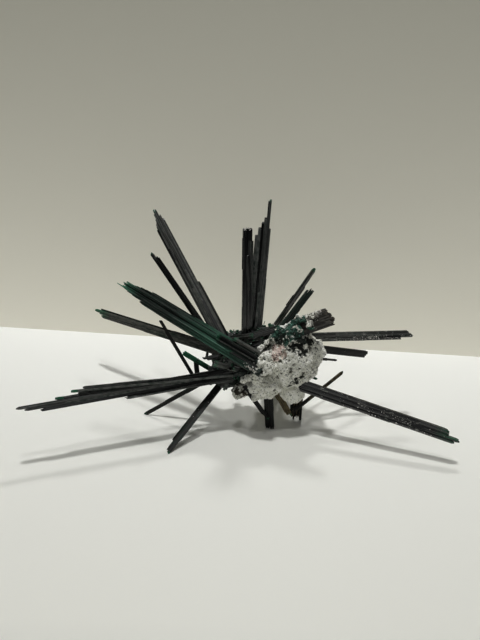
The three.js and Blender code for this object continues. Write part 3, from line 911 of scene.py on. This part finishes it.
# %% Make one small crystal
BURIED = 1.6 * MM
SMALL_WIDTH = (0.35, 1.5)  # the least, and how much chance may add, in millimetres
SMALL_LENGTH = (0.3, 1.9)
AWAY, UPRIGHT, STRAY = 0.8, 0.3, 0.9  # how much it points from the hub, off the skin, and at random
small_habit = Habit(narrowest=0.2, widest=0.6, layer=0.8, ragged=0.9, taper=0.5, point=0.5)
stub_habit = Habit(narrowest=0.2, widest=1.1, ragged=0.9, taper=0.5, point=0.85, slivers=4)


def random_spot(mesh, areas, rand):
    """A point on a mesh, with its normal, drawn by chance and weighed by area."""
    polygon = rand.choices(mesh.polygons, areas)[0]
    corners = [mesh.vertices[i].co for i in polygon.vertices]
    shares = [-math.log(1 - rand.random()) for _ in corners]
    spot = sum((corner * share for corner, share in zip(corners, shares)), Vector()) / sum(shares)
    return spot, polygon.normal


def free_bundle(bundle, crystal, habit):
    """A bundle of laths that no solid guides: it has the crystal's own width and thickness."""
    rand = bundle.random
    places = cuts_across(crystal, habit, rand)
    for left, right in zip(places, places[1:]):
        front = crystal.thickness / 2 * rand.uniform(0.65, 1)
        end = crystal.length - rand.random() ** 2 * habit.ragged * MM
        bundle.lath(crystal, left, right, -front, front, 0, end, habit)


def small_crystal(bundle, spot, normal):
    """A little bundle of laths that sticks out at a spot."""
    rand = bundle.random
    away = (spot - hub).normalized()
    stray = Vector([rand.uniform(-1, 1) for _ in range(3)])
    along = (away * AWAY + normal * UPRIGHT + stray * STRAY).normalized()
    outward = along.orthogonal().normalized()
    outward.rotate(Matrix.Rotation(rand.uniform(0, math.pi), 3, along))
    width = (SMALL_WIDTH[0] + SMALL_WIDTH[1] * rand.random() ** 2) * MM
    thick = width * rand.uniform(0.4, 0.9)
    length = (SMALL_LENGTH[0] + SMALL_LENGTH[1] * rand.random() ** 2) * MM + BURIED
    root = spot - along * BURIED
    crystal = Crystal(root, along, outward.cross(along), outward, length, width, thick)
    free_bundle(bundle, crystal, small_habit)


def lying_crystal(root, tip, width, thickness):
    """A crystal between two points, in millimetres, with its broad side to the front."""
    root, tip = Vector(root) * MM, Vector(tip) * MM
    along = (tip - root).normalized()
    outward = (FRONT - along * FRONT.dot(along)).normalized()
    across = outward.cross(along)
    return Crystal(root, along, across, outward, (tip - root).length, width * MM, thickness * MM)


# %% Grow crystals all over the root mass
SMALL_CRYSTALS = 380
OUTER_STATIONS = (0.78, 0.7, 0.86)
ROOT_SEED = 7


def grow_small_crystals():
    """The root mass's own stubs, the crystals that lie in it and the small ones all over it."""
    source = frame["nodes"]["root_cluster"].data
    areas = [polygon.area for polygon in source.polygons]
    bundle = Bundle(seed=ROOT_SEED)
    tree, found = crystals_in("root_cluster")
    for crystal in found:
        split(bundle, tree, crystal, stub_habit, OUTER_STATIONS)
    for ends_and_size in lying_crystals:
        free_bundle(bundle, lying_crystal(*ends_and_size), stub_habit)
    for _ in range(SMALL_CRYSTALS):
        small_crystal(bundle, *random_spot(source, areas, bundle.random))
    piece = new_piece("root_crystals", bundle.mesh("root_crystals"))
    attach(piece, "root")
    return piece


root_crystals = grow_small_crystals()
print("small crystals:", len(root_crystals.data.polygons), "faces")

# %% [markdown]
# ## Pale crumbs on the crystals
#
# Bits of the pale rock cling to some of the blades, most of all along their lower edges. Each is a
# small lump. A ball whose corners are pushed about by chance is enough for it, a little more than
# half sunk into the crystal. Scattering them over whole crystals would be simpler, but they
# gather along single edges. So each is dropped on its crystal by a ray, over a stretch that is
# said along and across that crystal, and stays on it when the crystal changes.

# %% Say where crumbs lie
@dataclass
class Dusting:
    """Where crumbs lie on a crystal.

    They drop from its middle line onto its skin, over a share of its length, towards a side that
    is given by a turn in degrees from its front, and up to so many millimetres aside. The last
    value says which of the node's crystals is meant.
    """
    node: str
    along: tuple
    turn: float
    aside: tuple
    count: int
    size: float
    which: int = 0


dustings_and_glints = [
    Dusting("long_right_blade", (0.3, 0.9), 0, (-1.8, -1.3), 44, 0.26),
    Dusting("long_right_blade", (0.12, 0.96), -75, (-0.9, 0.9), 40, 0.24),
    Dusting("long_right_blade", (0.42, 0.8), 0, (-0.9, 1.3), 60, 0.22),
    Dusting("level_right_blade", (0.3, 0.95), 0, (-1.5, -1.0), 60, 0.26),
    Dusting("level_right_blade", (0.45, 0.95), -70, (-0.8, 0.8), 40, 0.26),
    Dusting("level_right_blade", (0.45, 0.92), 0, (-1.0, 0.3), 150, 0.24),
    Dusting("level_right_blade", (0.97, 1.0), 0, (-0.3, 0.4), 5, 0.36),
    Dusting("short_right_blade", (0.4, 0.95), -60, (-0.8, 0.8), 10, 0.16),
    Dusting("brown_stub", (0.25, 0.75), 0, (1.1, 2.7), 130, 0.4),
    Dusting("brown_stub", (0.3, 0.85), 80, (-1.5, 1.6), 90, 0.4),
    Dusting("brown_stub", (0.3, 0.6), 0, (-0.2, 1.6), 30, 0.26),
    # On top of the shorter upright, the pale crumbs are painted highlights: they stand for the glints on its
    # broken top.
    Dusting("twin_uprights", (0.955, 0.978), 0, (-1.4, 1.4), 26, 0.34, which=1),
    Dusting("long_left_blade", (0.5, 0.98), 60, (-0.8, 0.8), 12, 0.12),
    Dusting("left_leg", (0.2, 0.6), 0, (-0.9, 0.9), 8, 0.15),
    Dusting("green_front_blade", (0.02, 0.1), 0, (-2.4, 2.4), 60, 0.34),
]
print("crumbs to drop:", sum(dusting.count for dusting in dustings_and_glints))

# %% Scatter the crumbs
CRUMB_SEED = 21
SMALLEST = 0.35  # the least size of a crumb, as a share of the largest
SUNK = 0.3  # how deep a crumb's middle lies in the crystal, as a share of its radius


def add_crumb(skin, centre, radius, rand):
    """A rough little lump."""
    turn = Matrix.Rotation(rand.uniform(0, math.tau), 4, Vector([rand.uniform(-1, 1) for _ in range(3)]))
    sizes = [radius * rand.uniform(0.6, 1.2) for _ in range(3)]
    place = Matrix.Translation(centre) @ turn @ Matrix.Diagonal((*sizes, 1))
    made = bmesh.ops.create_icosphere(skin, subdivisions=1, radius=1, matrix=place)
    for vertex in made["verts"]:
        vertex.co += (vertex.co - centre) * rand.uniform(-0.3, 0.3)


def scatter_crumbs():
    """All the crumbs, as one piece."""
    skin = bmesh.new()
    rand = random.Random(CRUMB_SEED)
    for dusting in dustings_and_glints:
        tree, found = solids[dusting.node]
        crystal = found[dusting.which]
        turn = math.radians(dusting.turn)
        way = crystal.outward * math.cos(turn) + crystal.across * math.sin(turn)
        beside = crystal.across * math.cos(turn) - crystal.outward * math.sin(turn)
        for _ in range(dusting.count):
            along = rand.uniform(*dusting.along) * crystal.length
            start = crystal.point(0, 0, along) + beside * rand.uniform(*dusting.aside) * MM
            ahead = reach(tree, start, way)
            if ahead is None:
                continue
            radius = dusting.size * MM * (SMALLEST + (1 - SMALLEST) * rand.random() ** 2)
            add_crumb(skin, start + way * (ahead - radius * SUNK), radius, rand)
    mesh = bpy.data.meshes.new("pale_crumbs")
    skin.to_mesh(mesh)
    skin.free()
    piece = new_piece("pale_crumbs", mesh)
    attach(piece, "root")
    return piece


crumbs = scatter_crumbs()
print("pale crumbs:", len(crumbs.data.polygons), "faces")

# %% [markdown]
# ## Node groups that several finishes share
#
# Striations run along every crystal. They are noise that has been stretched thirty times along
# the lath, so it turns into lines. The laths carry their own coordinates in the "grain" mark,
# so the lines follow each crystal whichever way it points, which object or world coordinates
# could not do.

# %% Make, link and read nodes
def add_node(tree, kind, **settings):
    """A new node with its settings."""
    made = tree.nodes.new(kind)
    for name, value in settings.items():
        setattr(made, name, value)
    return made


def feed(tree, source, target):
    """Links an output to an input, or sets the input to a plain number or colour."""
    if isinstance(source, bpy.types.NodeSocket):
        tree.links.new(source, target)
    elif isinstance(source, tuple):
        target.default_value = (*source, 1)
    else:
        target.default_value = source


def read_mark(tree, name):
    """The mark of that name, which was kept on the mesh's points."""
    return add_node(tree, "ShaderNodeAttribute", attribute_name=name)


def place_on(tree):
    """Where a point lies on the object, in metres."""
    return add_node(tree, "ShaderNodeTexCoord").outputs["Object"]


# %% Mix colours and work with values
def mix_colours(tree, factor, first, second):
    """Mixes two colours, each a socket or a plain colour, and gives the result's socket."""
    made = add_node(tree, "ShaderNodeMix", data_type="RGBA")
    for number, value in ((0, factor), (6, first), (7, second)):
        feed(tree, value, made.inputs[number])
    return made.outputs[2]


def paint_over(tree, colour, *layers):
    """Lays colours over a colour, one after the other, each through its own mask."""
    for mask, over in layers:
        colour = mix_colours(tree, mask, colour, over)
    return colour


def calculate(tree, operation, *values):
    """A Math node on sockets and plain numbers, and its result's socket."""
    made = add_node(tree, "ShaderNodeMath", operation=operation)
    for socket, value in zip(made.inputs, values):
        feed(tree, value, socket)
    return made.outputs[0]


def weighed_sum(tree, *parts):
    """The sum of values, each a pair of a socket and its share."""
    shares = [calculate(tree, "MULTIPLY", value, share) for value, share in parts]
    return calculate(tree, "ADD", *shares)


def remap(tree, value, low, high, to_low=0.0, to_high=1.0):
    """Maps the range from low to high onto another one, and holds it at the ends."""
    made = add_node(tree, "ShaderNodeMapRange")
    feed(tree, value, made.inputs["Value"])
    for name, number in (("From Min", low), ("From Max", high), ("To Min", to_low), ("To Max", to_high)):
        made.inputs[name].default_value = number
    return made.outputs["Result"]


# %% Make noise
def noise_of(tree, vector, scale, detail=3.0, roughness=0.55):
    """Soft noise of about 0.3 to 0.7, with so many lumps to one unit of the vector."""
    made = add_node(tree, "ShaderNodeTexNoise")
    for name, value in (("Vector", vector), ("Scale", scale), ("Detail", detail), ("Roughness", roughness)):
        feed(tree, value, made.inputs[name])
    return made.outputs["Fac"]


def stretched(tree, vector, share):
    """Coordinates that run slower along the grain, so that a noise on them is drawn out."""
    made = add_node(tree, "ShaderNodeVectorMath", operation="MULTIPLY")
    made.inputs[1].default_value = (1, 1, share)
    feed(tree, vector, made.inputs[0])
    return made.outputs[0]


# %% Make node groups and finishes
def new_group(name, inputs, outputs):
    """An empty node group with its sockets, and its input and output nodes."""
    group = bpy.data.node_groups.new(name, "ShaderNodeTree")
    for label, kind in inputs:
        group.interface.new_socket(label, in_out="INPUT", socket_type=kind)
    for label, kind in outputs:
        group.interface.new_socket(label, in_out="OUTPUT", socket_type=kind)
    return group, add_node(group, "NodeGroupInput"), add_node(group, "NodeGroupOutput")


def use_group(tree, group):
    """A node group, set into another node tree."""
    return add_node(tree, "ShaderNodeGroup", node_tree=group)


def new_finish(name, refraction=None):
    """A material with nothing but its shader yet: the material, its node tree and the shader."""
    finish = bpy.data.materials.new(name)
    finish.use_nodes = True
    shader = finish.node_tree.nodes["Principled BSDF"]
    if refraction:
        shader.inputs["IOR"].default_value = refraction
    return finish, finish.node_tree, shader


def add_bump(tree, shader, height, strength, distance):
    """Makes a surface look as if it had that height. The distance is in millimetres."""
    bump = add_node(tree, "ShaderNodeBump")
    bump.inputs["Strength"].default_value = strength
    bump.inputs["Distance"].default_value = distance * MM
    feed(tree, height, bump.inputs["Height"])
    feed(tree, bump.outputs["Normal"], shader.inputs["Normal"])


def dress(piece, finish):
    """Gives a piece its finish, and no other."""
    piece.data.materials.clear()
    piece.data.materials.append(finish)


# %% Build the striations
ALONG = 0.035  # the lines are about thirty times as long as they are wide


def build_striations():
    """Fine lines as a height, broad ones as streaks of tone, and patches that aren't stretched."""
    group, given, result = new_group(
        "striations",
        [("Grain", "NodeSocketVector")],
        [("Height", "NodeSocketFloat"), ("Streak", "NodeSocketFloat"), ("Patch", "NodeSocketFloat")],
    )
    lines = stretched(group, given.outputs["Grain"], ALONG)
    fine = noise_of(group, lines, 7.0, 4)
    broad = noise_of(group, lines, 1.6, 2)
    spots = noise_of(group, given.outputs["Grain"], 0.55, 4)
    feed(group, weighed_sum(group, (fine, 0.6), (broad, 0.4)), result.inputs["Height"])
    feed(group, remap(group, broad, 0.35, 0.65), result.inputs["Streak"])
    feed(group, remap(group, spots, 0.42, 0.62), result.inputs["Patch"])
    return group


striations = build_striations()
print("striations give", [item.name for item in striations.interface.items_tree if item.in_out == "OUTPUT"])

# %% [markdown]
# ## The pale crust
#
# On two of the blades lies a film of pale mineral. It is thin and torn, and what is left of it is
# short scratches along the grain. It could be a second mesh, but it is much thinner than a lath.
# So it is a mask. A broad noise says where it lies, and a finer one that is stretched along the
# grain makes the scratches. An amount is added to both, and the film lies where the sum passes one.

# %% Build the pale crust
SCRATCH = 0.3  # the scratches are about three times as long as they are wide


def build_crust():
    """A film of pale mineral in short scratches that run along the grain."""
    group, given, result = new_group(
        "pale crust",
        [("Grain", "NodeSocketVector"), ("Amount", "NodeSocketFloat")],
        [("Mask", "NodeSocketFloat")],
    )
    patches = noise_of(group, given.outputs["Grain"], 0.3, 2)
    specks = noise_of(group, stretched(group, given.outputs["Grain"], SCRATCH), 2.4, 3, 0.65)
    over = calculate(group, "ADD", weighed_sum(group, (patches, 0.5), (specks, 0.5)), given.outputs["Amount"])
    feed(group, remap(group, over, 0.97, 1.03), result.inputs["Mask"])
    return group


crust = build_crust()
print("the crust takes", [item.name for item in crust.interface.items_tree if item.in_out == "INPUT"])

# %% [markdown]
# ## The crystals' finish
#
# Thick, this mineral lets so little light through that it looks black. Only thin edges and tips
# show that it is green. It bends light strongly, with an index near 1.77, so its flat faces
# shine like dark glass where they catch a light, and stay black where they don't. The finish is
# a nearly black base under a strong reflection, with green let in towards the tips. Every lath
# has a tone of its own, drawn by chance, that makes it greener or blacker, duller or glossier.

# %% Say how a crystal's finish is built
REFRACTION = 1.77
CRUST_COLOUR = (0.30, 0.31, 0.28)
CRUST_ROUGHNESS = 0.85
STRIATION_BUMP = (0.8, 0.05)  # its strength, and its depth in millimetres


def crystal_finish(name, dark, green, tip_green, gloss=0.1, dull=0.4, green_from=1.5, crusted=0.0,
                   smoke=(0.120, 0.121, 0.105), refraction=REFRACTION):
    """Glass that is dark, smoky or green by lath and by streak, and greener at its tips."""
    finish, tree, shader = new_finish(name, refraction)
    grain = read_mark(tree, "grain").outputs["Vector"]
    lines = use_group(tree, striations)
    feed(tree, grain, lines.inputs["Grain"])
    streak, patch = lines.outputs["Streak"], lines.outputs["Patch"]
    lath = read_mark(tree, "lath").outputs["Fac"]
    tip = remap(tree, read_mark(tree, "tip").outputs["Fac"], 1.0, 0.1)

    tone = calculate(tree, "ADD", lath, calculate(tree, "ADD", streak, patch))
    greenish = remap(tree, tone, green_from, 2.6)
    smoky = remap(tree, weighed_sum(tree, (lath, 1.0), (streak, 0.4)), 0.4, 1.05)
    thin = calculate(tree, "MULTIPLY", tip, remap(tree, calculate(tree, "ADD", lath, streak), 0.2, 1.3))
    colour = paint_over(tree, dark, (smoky, smoke), (greenish, green), (thin, tip_green))
    rough = remap(tree, weighed_sum(tree, (lath, 0.6), (streak, 0.4)), 0.1, 0.9, gloss, dull)
    if crusted:
        film = use_group(tree, crust)
        feed(tree, grain, film.inputs["Grain"])
        film.inputs["Amount"].default_value = crusted
        mask = film.outputs["Mask"]
        colour = mix_colours(tree, mask, colour, CRUST_COLOUR)
        rough = calculate(tree, "MAXIMUM", rough, calculate(tree, "MULTIPLY", mask, CRUST_ROUGHNESS))
    feed(tree, colour, shader.inputs["Base Color"])
    feed(tree, rough, shader.inputs["Roughness"])
    add_bump(tree, shader, lines.outputs["Height"], *STRIATION_BUMP)
    return finish


# %% Build the crystal finishes
NEAR_BLACK = (0.0025, 0.0035, 0.003)
BOTTLE = (0.010, 0.026, 0.017)
LEAF = (0.03, 0.16, 0.085)
EMERALD = (0.006, 0.034, 0.021)
PALE_GREEN = (0.07, 0.235, 0.15)
DEEP_GREEN = (0.002, 0.006, 0.004)
OLIVE = (0.25, 0.205, 0.11)
UMBER = (0.010, 0.008, 0.005)
FIBRE = (0.085, 0.07, 0.048)

common = {"dark": NEAR_BLACK, "green": BOTTLE, "tip_green": LEAF}
dark_finish = crystal_finish("dark crystal", **common)
# Painted shade: this finish has a darker body colour and a weaker reflection, which stand in for the shade
# these crystals lie in. Their surface is also duller.
dull_shaded_finish = crystal_finish("dull shaded crystal", **common, gloss=0.3, dull=0.6, smoke=(0.020, 0.019, 0.015),
                             refraction=1.35)
crusted_finish = crystal_finish("crusted crystal", **common, crusted=0.39, smoke=(0.05, 0.053, 0.052))
frosted_finish = crystal_finish("frosted crystal", **common, crusted=0.41, smoke=(0.155, 0.16, 0.15))
grey_finish = crystal_finish("grey crystal", **common, smoke=(0.16, 0.166, 0.155))
olive_finish = crystal_finish("olive crystal", NEAR_BLACK, OLIVE, LEAF, gloss=0.3, dull=0.6, green_from=1.0,
                              smoke=(0.11, 0.093, 0.06), refraction=1.35)
green_finish = crystal_finish("green crystal", DEEP_GREEN, EMERALD, PALE_GREEN, gloss=0.25, dull=0.5,
                              green_from=1.1, smoke=(0.075, 0.085, 0.075), refraction=1.5)
brown_finish = crystal_finish("brown crystal", UMBER, FIBRE, FIBRE, gloss=0.4, dull=0.75)

# %% Give each crystal its finish
finish_of = {"green_crystal": green_finish, "brown_crystal": brown_finish, "dark_crystal": dark_finish}
own_finish = {
    "long_right_blade": crusted_finish, "level_right_blade": frosted_finish,
    "foot_plate": olive_finish, "long_left_blade": grey_finish, "twin_uprights": grey_finish,
}
for node in ("middle_leg", "left_leg", "short_right_blade", "right_needle", "right_stub_needle",
             "low_left_needle", "crossing_stubs"):
    own_finish[node] = dull_shaded_finish

for node, piece in crystal_pieces.items():
    dress(piece, own_finish.get(node, finish_of[slot_of[node]]))
dress(root_crystals, dark_finish)
print("crystals with a finish of their own:", len(own_finish))

# %% [markdown]
# ## The finish of the root mass
#
# Between the small crystals the mass is dark and gritty, and single grains in it glint. One even
# colour would read as a hole there. So a broad noise varies it from near black to bottle green, a
# fine one sets the pale glints, and a third makes it dull in one place and glossy in the next.

# %% Build the finish of the root mass
def root_finish():
    """Dark grit with pale glints."""
    finish, tree, shader = new_finish("root mass", REFRACTION)
    place = place_on(tree)
    patches = remap(tree, noise_of(tree, place, 420), 0.4, 0.62)
    glints = remap(tree, noise_of(tree, place, 1500, 2), 0.64, 0.72)
    colour = paint_over(tree, NEAR_BLACK, (patches, (0.012, 0.026, 0.018)), (glints, (0.07, 0.075, 0.065)))
    feed(tree, colour, shader.inputs["Base Color"])
    feed(tree, remap(tree, noise_of(tree, place, 900), 0.35, 0.65, 0.3, 0.8), shader.inputs["Roughness"])
    return finish


dress(root_body, root_finish())
print("root mass finish:", len(root_body.data.materials[0].node_tree.nodes), "nodes")

# %% [markdown]
# ## The rock's finish
#
# The rock is pale where its lumps catch the light, and its pits are painted darker: painted
# shade. A green crust grows on top, a pink stain lies below it, and its lower left is brown. Black
# grains lie in places, and along one crevice the dark is painted shade. The marks that were kept on
# its points say where each of these is. None of them has a clean edge: a finer noise breaks each
# one up into specks, so that one mineral shows through the next.

# %% Break a mark up into specks
def speckled(tree, mark, speck, spread, start=0.5, softness=0.12):
    """A mask that follows a mark, broken up by a noise."""
    centred = calculate(tree, "SUBTRACT", speck, 0.5)
    broken = calculate(tree, "ADD", mark, calculate(tree, "MULTIPLY", centred, spread))
    return remap(tree, broken, start - softness, start + softness)


# %% Build the rock's finish
GRAIN_BUMP = (1.0, 0.2)  # its strength, and its depth in millimetres


def rock_finish():
    """Pale grains, painted shade in the pits, and the stains and the green crust where their marks are."""
    finish, tree, shader = new_finish("pale rock")
    place = place_on(tree)
    grain = noise_of(tree, place, 1900, 4, 0.6)
    specks = noise_of(tree, place, 900, 3, 0.6)
    cloud = noise_of(tree, place, 220, 3)
    mark = {name: read_mark(tree, name).outputs["Fac"] for name in ("pit", "green", *stains_and_shade)}

    pit_shade = speckled(tree, mark["pit"], grain, 0.9, 0.55, 0.25)
    crust_tone = paint_over(
        tree, (0.012, 0.024, 0.018),
        (remap(tree, specks, 0.42, 0.62), (0.05, 0.13, 0.095)),  # green
        (remap(tree, grain, 0.60, 0.68), (0.20, 0.42, 0.33)),  # pale green grains
        (remap(tree, cloud, 0.60, 0.66), (0.75, 0.76, 0.72)),  # bare rock
    )
    colour = paint_over(
        tree, (0.70, 0.70, 0.62),
        (remap(tree, cloud, 0.38, 0.62), (0.88, 0.88, 0.81)),  # paler clouds
        (remap(tree, specks, 0.45, 0.62), (0.92, 0.92, 0.87)),  # white specks
        (remap(tree, grain, 0.45, 0.33), (0.11, 0.11, 0.085)),  # dark grains
        # Painted shade: the pits are darkened in the colour.
        (calculate(tree, "MULTIPLY", pit_shade, 0.9), (0.075, 0.075, 0.055)),  # pits
        (speckled(tree, mark["pink"], specks, 2.6, 0.66), (0.74, 0.62, 0.56)),  # pink stain
        (speckled(tree, mark["pink"], grain, 3.2, 1.15), (0.07, 0.04, 0.04)),  # plum grains in it
        (speckled(tree, mark["brown"], specks, 3.4, 0.75), (0.04, 0.034, 0.022)),  # brown stain
        (speckled(tree, mark["green"], specks, 2.4, 0.50), crust_tone),  # green crust
        # Black grains, and painted shade along a crevice.
        (speckled(tree, mark["dark"], specks, 3.0, 0.58), (0.012, 0.016, 0.011)),  # black grains
    )
    feed(tree, colour, shader.inputs["Base Color"])
    feed(tree, remap(tree, grain, 0.3, 0.7, 0.75, 0.95), shader.inputs["Roughness"])
    add_bump(tree, shader, grain, *GRAIN_BUMP)
    return finish


dress(rock, rock_finish())
print("rock finish:", len(rock.data.materials[0].node_tree.nodes), "nodes")

# %% [markdown]
# ## The crumbs' finish
#
# The crumbs are bits of the same rock, so they are matt and pale, but too small for stains. The
# rock's own finish would need its marks on them. One noise that is finer than a crumb is enough:
# it makes some of them white, some grey, and gives the larger ones a dark side.

# %% Build the crumbs' finish
def crumb_finish():
    """Matt, between grey and off-white."""
    finish, tree, shader = new_finish("pale crumbs")
    specks = noise_of(tree, place_on(tree), 1500, 3)
    colour = mix_colours(tree, remap(tree, specks, 0.4, 0.6), (0.40, 0.38, 0.35), (0.82, 0.80, 0.76))
    feed(tree, colour, shader.inputs["Base Color"])
    feed(tree, remap(tree, specks, 0.3, 0.7, 0.7, 0.9), shader.inputs["Roughness"])
    return finish


dress(crumbs, crumb_finish())
print("crumbs' finish:", len(crumbs.data.materials[0].node_tree.nodes), "nodes")

# %% [markdown]
# ## Floor and backdrop
#
# The floor is plain and pale, and a plain wall stands behind. Farther to the front the floor is
# painted darker, as painted shade where a shelf ends, so that steep faces have something dark to
# mirror, and towards the back it is painted paler, as painted light. The wall is one-sided: a look
# at its back goes through, so it doesn't block a view from behind. In a room, lamps of its own
# would light it. Here it glows a little instead, but only where it is looked at directly, so its
# glow doesn't light the specimen. It is painted paler near the floor and darker higher up: painted
# light.

# %% Build a matt finish for the room
MATT = 0.6


def plain_finish(name, axis, stops, glow=0.0):
    """A matt finish whose colour changes along an axis of the room, as painted light and shade. Each stop is
    a place and a colour.
    """
    finish, tree, shader = new_finish(name)
    shader.inputs["Roughness"].default_value = MATT
    axes = add_node(tree, "ShaderNodeSeparateXYZ")
    feed(tree, place_on(tree), axes.inputs[0])
    colour = stops[0][1]
    for (start, _), (end, next_colour) in zip(stops, stops[1:]):
        colour = mix_colours(tree, remap(tree, axes.outputs[axis], start, end), colour, next_colour)
    feed(tree, colour, shader.inputs["Base Color"])
    if glow:
        seen = add_node(tree, "ShaderNodeLightPath").outputs["Is Camera Ray"]
        feed(tree, mix_colours(tree, seen, (0, 0, 0), colour), shader.inputs["Emission Color"])
        shader.inputs["Emission Strength"].default_value = glow
    return finish


def one_sided(finish):
    """Lets sight through the back of a surface, and lets light through both ways."""
    tree = finish.node_tree
    clear = add_node(tree, "ShaderNodeBsdfTransparent")
    choose = add_node(tree, "ShaderNodeMixShader")
    from_behind = add_node(tree, "ShaderNodeNewGeometry").outputs["Backfacing"]
    shadow = add_node(tree, "ShaderNodeLightPath").outputs["Is Shadow Ray"]
    feed(tree, calculate(tree, "MAXIMUM", from_behind, shadow), choose.inputs[0])
    feed(tree, tree.nodes["Principled BSDF"].outputs[0], choose.inputs[1])
    feed(tree, clear.outputs[0], choose.inputs[2])
    feed(tree, choose.outputs[0], tree.nodes["Material Output"].inputs[0])


# %% Lay the floor
FLOOR = 3.0
FLOOR_LEVEL = -0.02 * MM


def sheet(name, corners, finish):
    """A flat, four-cornered part of the room."""
    mesh = bpy.data.meshes.new(name)
    mesh.from_pydata([Vector(corner) for corner in corners], [], [range(4)])
    piece = new_piece(name, mesh)
    dress(piece, finish)


# Painted light and shade: darker to the front, where the shelf ends in shade, and paler to the back, where
# the lamps light it more.
floor_painted_light_finish = plain_finish("floor", "Y", [
    (-0.20, (0.10, 0.10, 0.10)), (-0.085, (0.80, 0.80, 0.745)), (0.06, (0.96, 0.965, 0.93)),
])
floor_corners = [(-FLOOR, -FLOOR), (FLOOR, -FLOOR), (FLOOR, FLOOR), (-FLOOR, FLOOR)]
sheet("floor", [(x, y, FLOOR_LEVEL) for x, y in floor_corners], floor_painted_light_finish)
print("the floor is", 2 * FLOOR, "m wide")

# %% Stand the wall behind
WALL_LEFT = Vector((-110, 70.5, 0)) * MM
WALL_RIGHT = Vector((105, 55, 0)) * MM
WALL_HEIGHT = 0.6
WALL_STRETCH = 5  # how much farther it goes than those two points, to both sides

# Painted light: paler near the floor and darker higher up, with a glow that only the camera sees.
painted_light_wall_finish = plain_finish("backdrop", "Z", [
    (0.0, (0.575, 0.56, 0.49)), (0.16, (0.345, 0.34, 0.29)),
], glow=0.48)
one_sided(painted_light_wall_finish)

middle = (WALL_LEFT + WALL_RIGHT) / 2
left_end = middle + (WALL_LEFT - middle) * WALL_STRETCH
right_end = middle + (WALL_RIGHT - middle) * WALL_STRETCH
up = Vector((0, 0, WALL_HEIGHT))
sheet("backdrop", [left_end, right_end, right_end + up, left_end + up], painted_light_wall_finish)
print("the wall is", round((right_end - left_end).length, 2), "m wide")

# %% [markdown]
# ## Lamps
#
# A shelf for minerals has small, hard lamps close above it. They draw sharp shadows that cross,
# and small bright glints on the crystals. Three small square lamps do that here. A single sun
# would give one shadow only. A large, soft lamp to the front fills the faces that look that way,
# as the light of a room does.

# %% Hang the lamps
LAMP_DISTANCE = 0.9

# Each has the way that it hangs in, its size and its power.
lamps = {
    "lamp overhead": ((-0.05, -0.02, 1), 0.06, 3.6),
    "lamp in front": ((0.02, -0.22, 1), 0.06, 0.84),
    "lamp behind": ((0.1, 0.55, 1), 0.09, 1.45),
    "soft front lamp": ((-0.1, -1, 0.62), 0.8, 1.0),
}


def hang_lamp(name, way, size, power):
    """A square lamp that shines at the specimen from a way."""
    data = bpy.data.lights.new(name, "AREA")
    data.size = size
    data.energy = power
    piece = bpy.data.objects.new(name, data)
    back = Vector(way).normalized()
    piece.location = back * LAMP_DISTANCE
    piece.rotation_euler = back.to_track_quat("Z", "Y").to_euler()
    piece.visible_camera = False
    bpy.context.scene.collection.objects.link(piece)


for name, settings in lamps.items():
    hang_lamp(name, *settings)
print("lamps:", len(lamps), "with", round(sum(power for _, _, power in lamps.values()), 2), "W in all")

# %% [markdown]
# ## The sky
#
# What the lamps don't reach is lit by the room. Its ceiling is brighter than what stands around at
# eye level, so the sky is nearly black at the horizon and a dim grey overhead. An even sky would
# put the same grey on steep faces as on level ones, and the blades would look flat.

# %% Set the sky
HORIZON = (0.02, 0.02, 0.02)
CEILING = (0.075, 0.075, 0.073)


def build_sky():
    """A sky that is dark at the horizon and brighter overhead."""
    world = bpy.data.worlds.new("studio")
    bpy.context.scene.world = world
    world.use_nodes = True
    tree = world.node_tree
    way = add_node(tree, "ShaderNodeSeparateXYZ")
    feed(tree, add_node(tree, "ShaderNodeTexCoord").outputs["Generated"], way.inputs[0])
    height = remap(tree, way.outputs["Z"], 0.05, 0.9)
    feed(tree, mix_colours(tree, height, HORIZON, CEILING), tree.nodes["Background"].inputs["Color"])


build_sky()
print("sky from", HORIZON[0], "to", CEILING[0])

# %% [markdown]
# ## Contrast
#
# The glints on the crystals are far brighter than their faces. A filmic view would roll them off
# and grey the pale rock, so the plain view is used. A gamma under one deepens the dark tones,
# which is where these crystals are.

# %% Set the contrast
CONTRAST = 0.85
bpy.context.scene.view_settings.view_transform = "Standard"
bpy.context.scene.view_settings.gamma = CONTRAST
print("contrast:", CONTRAST)
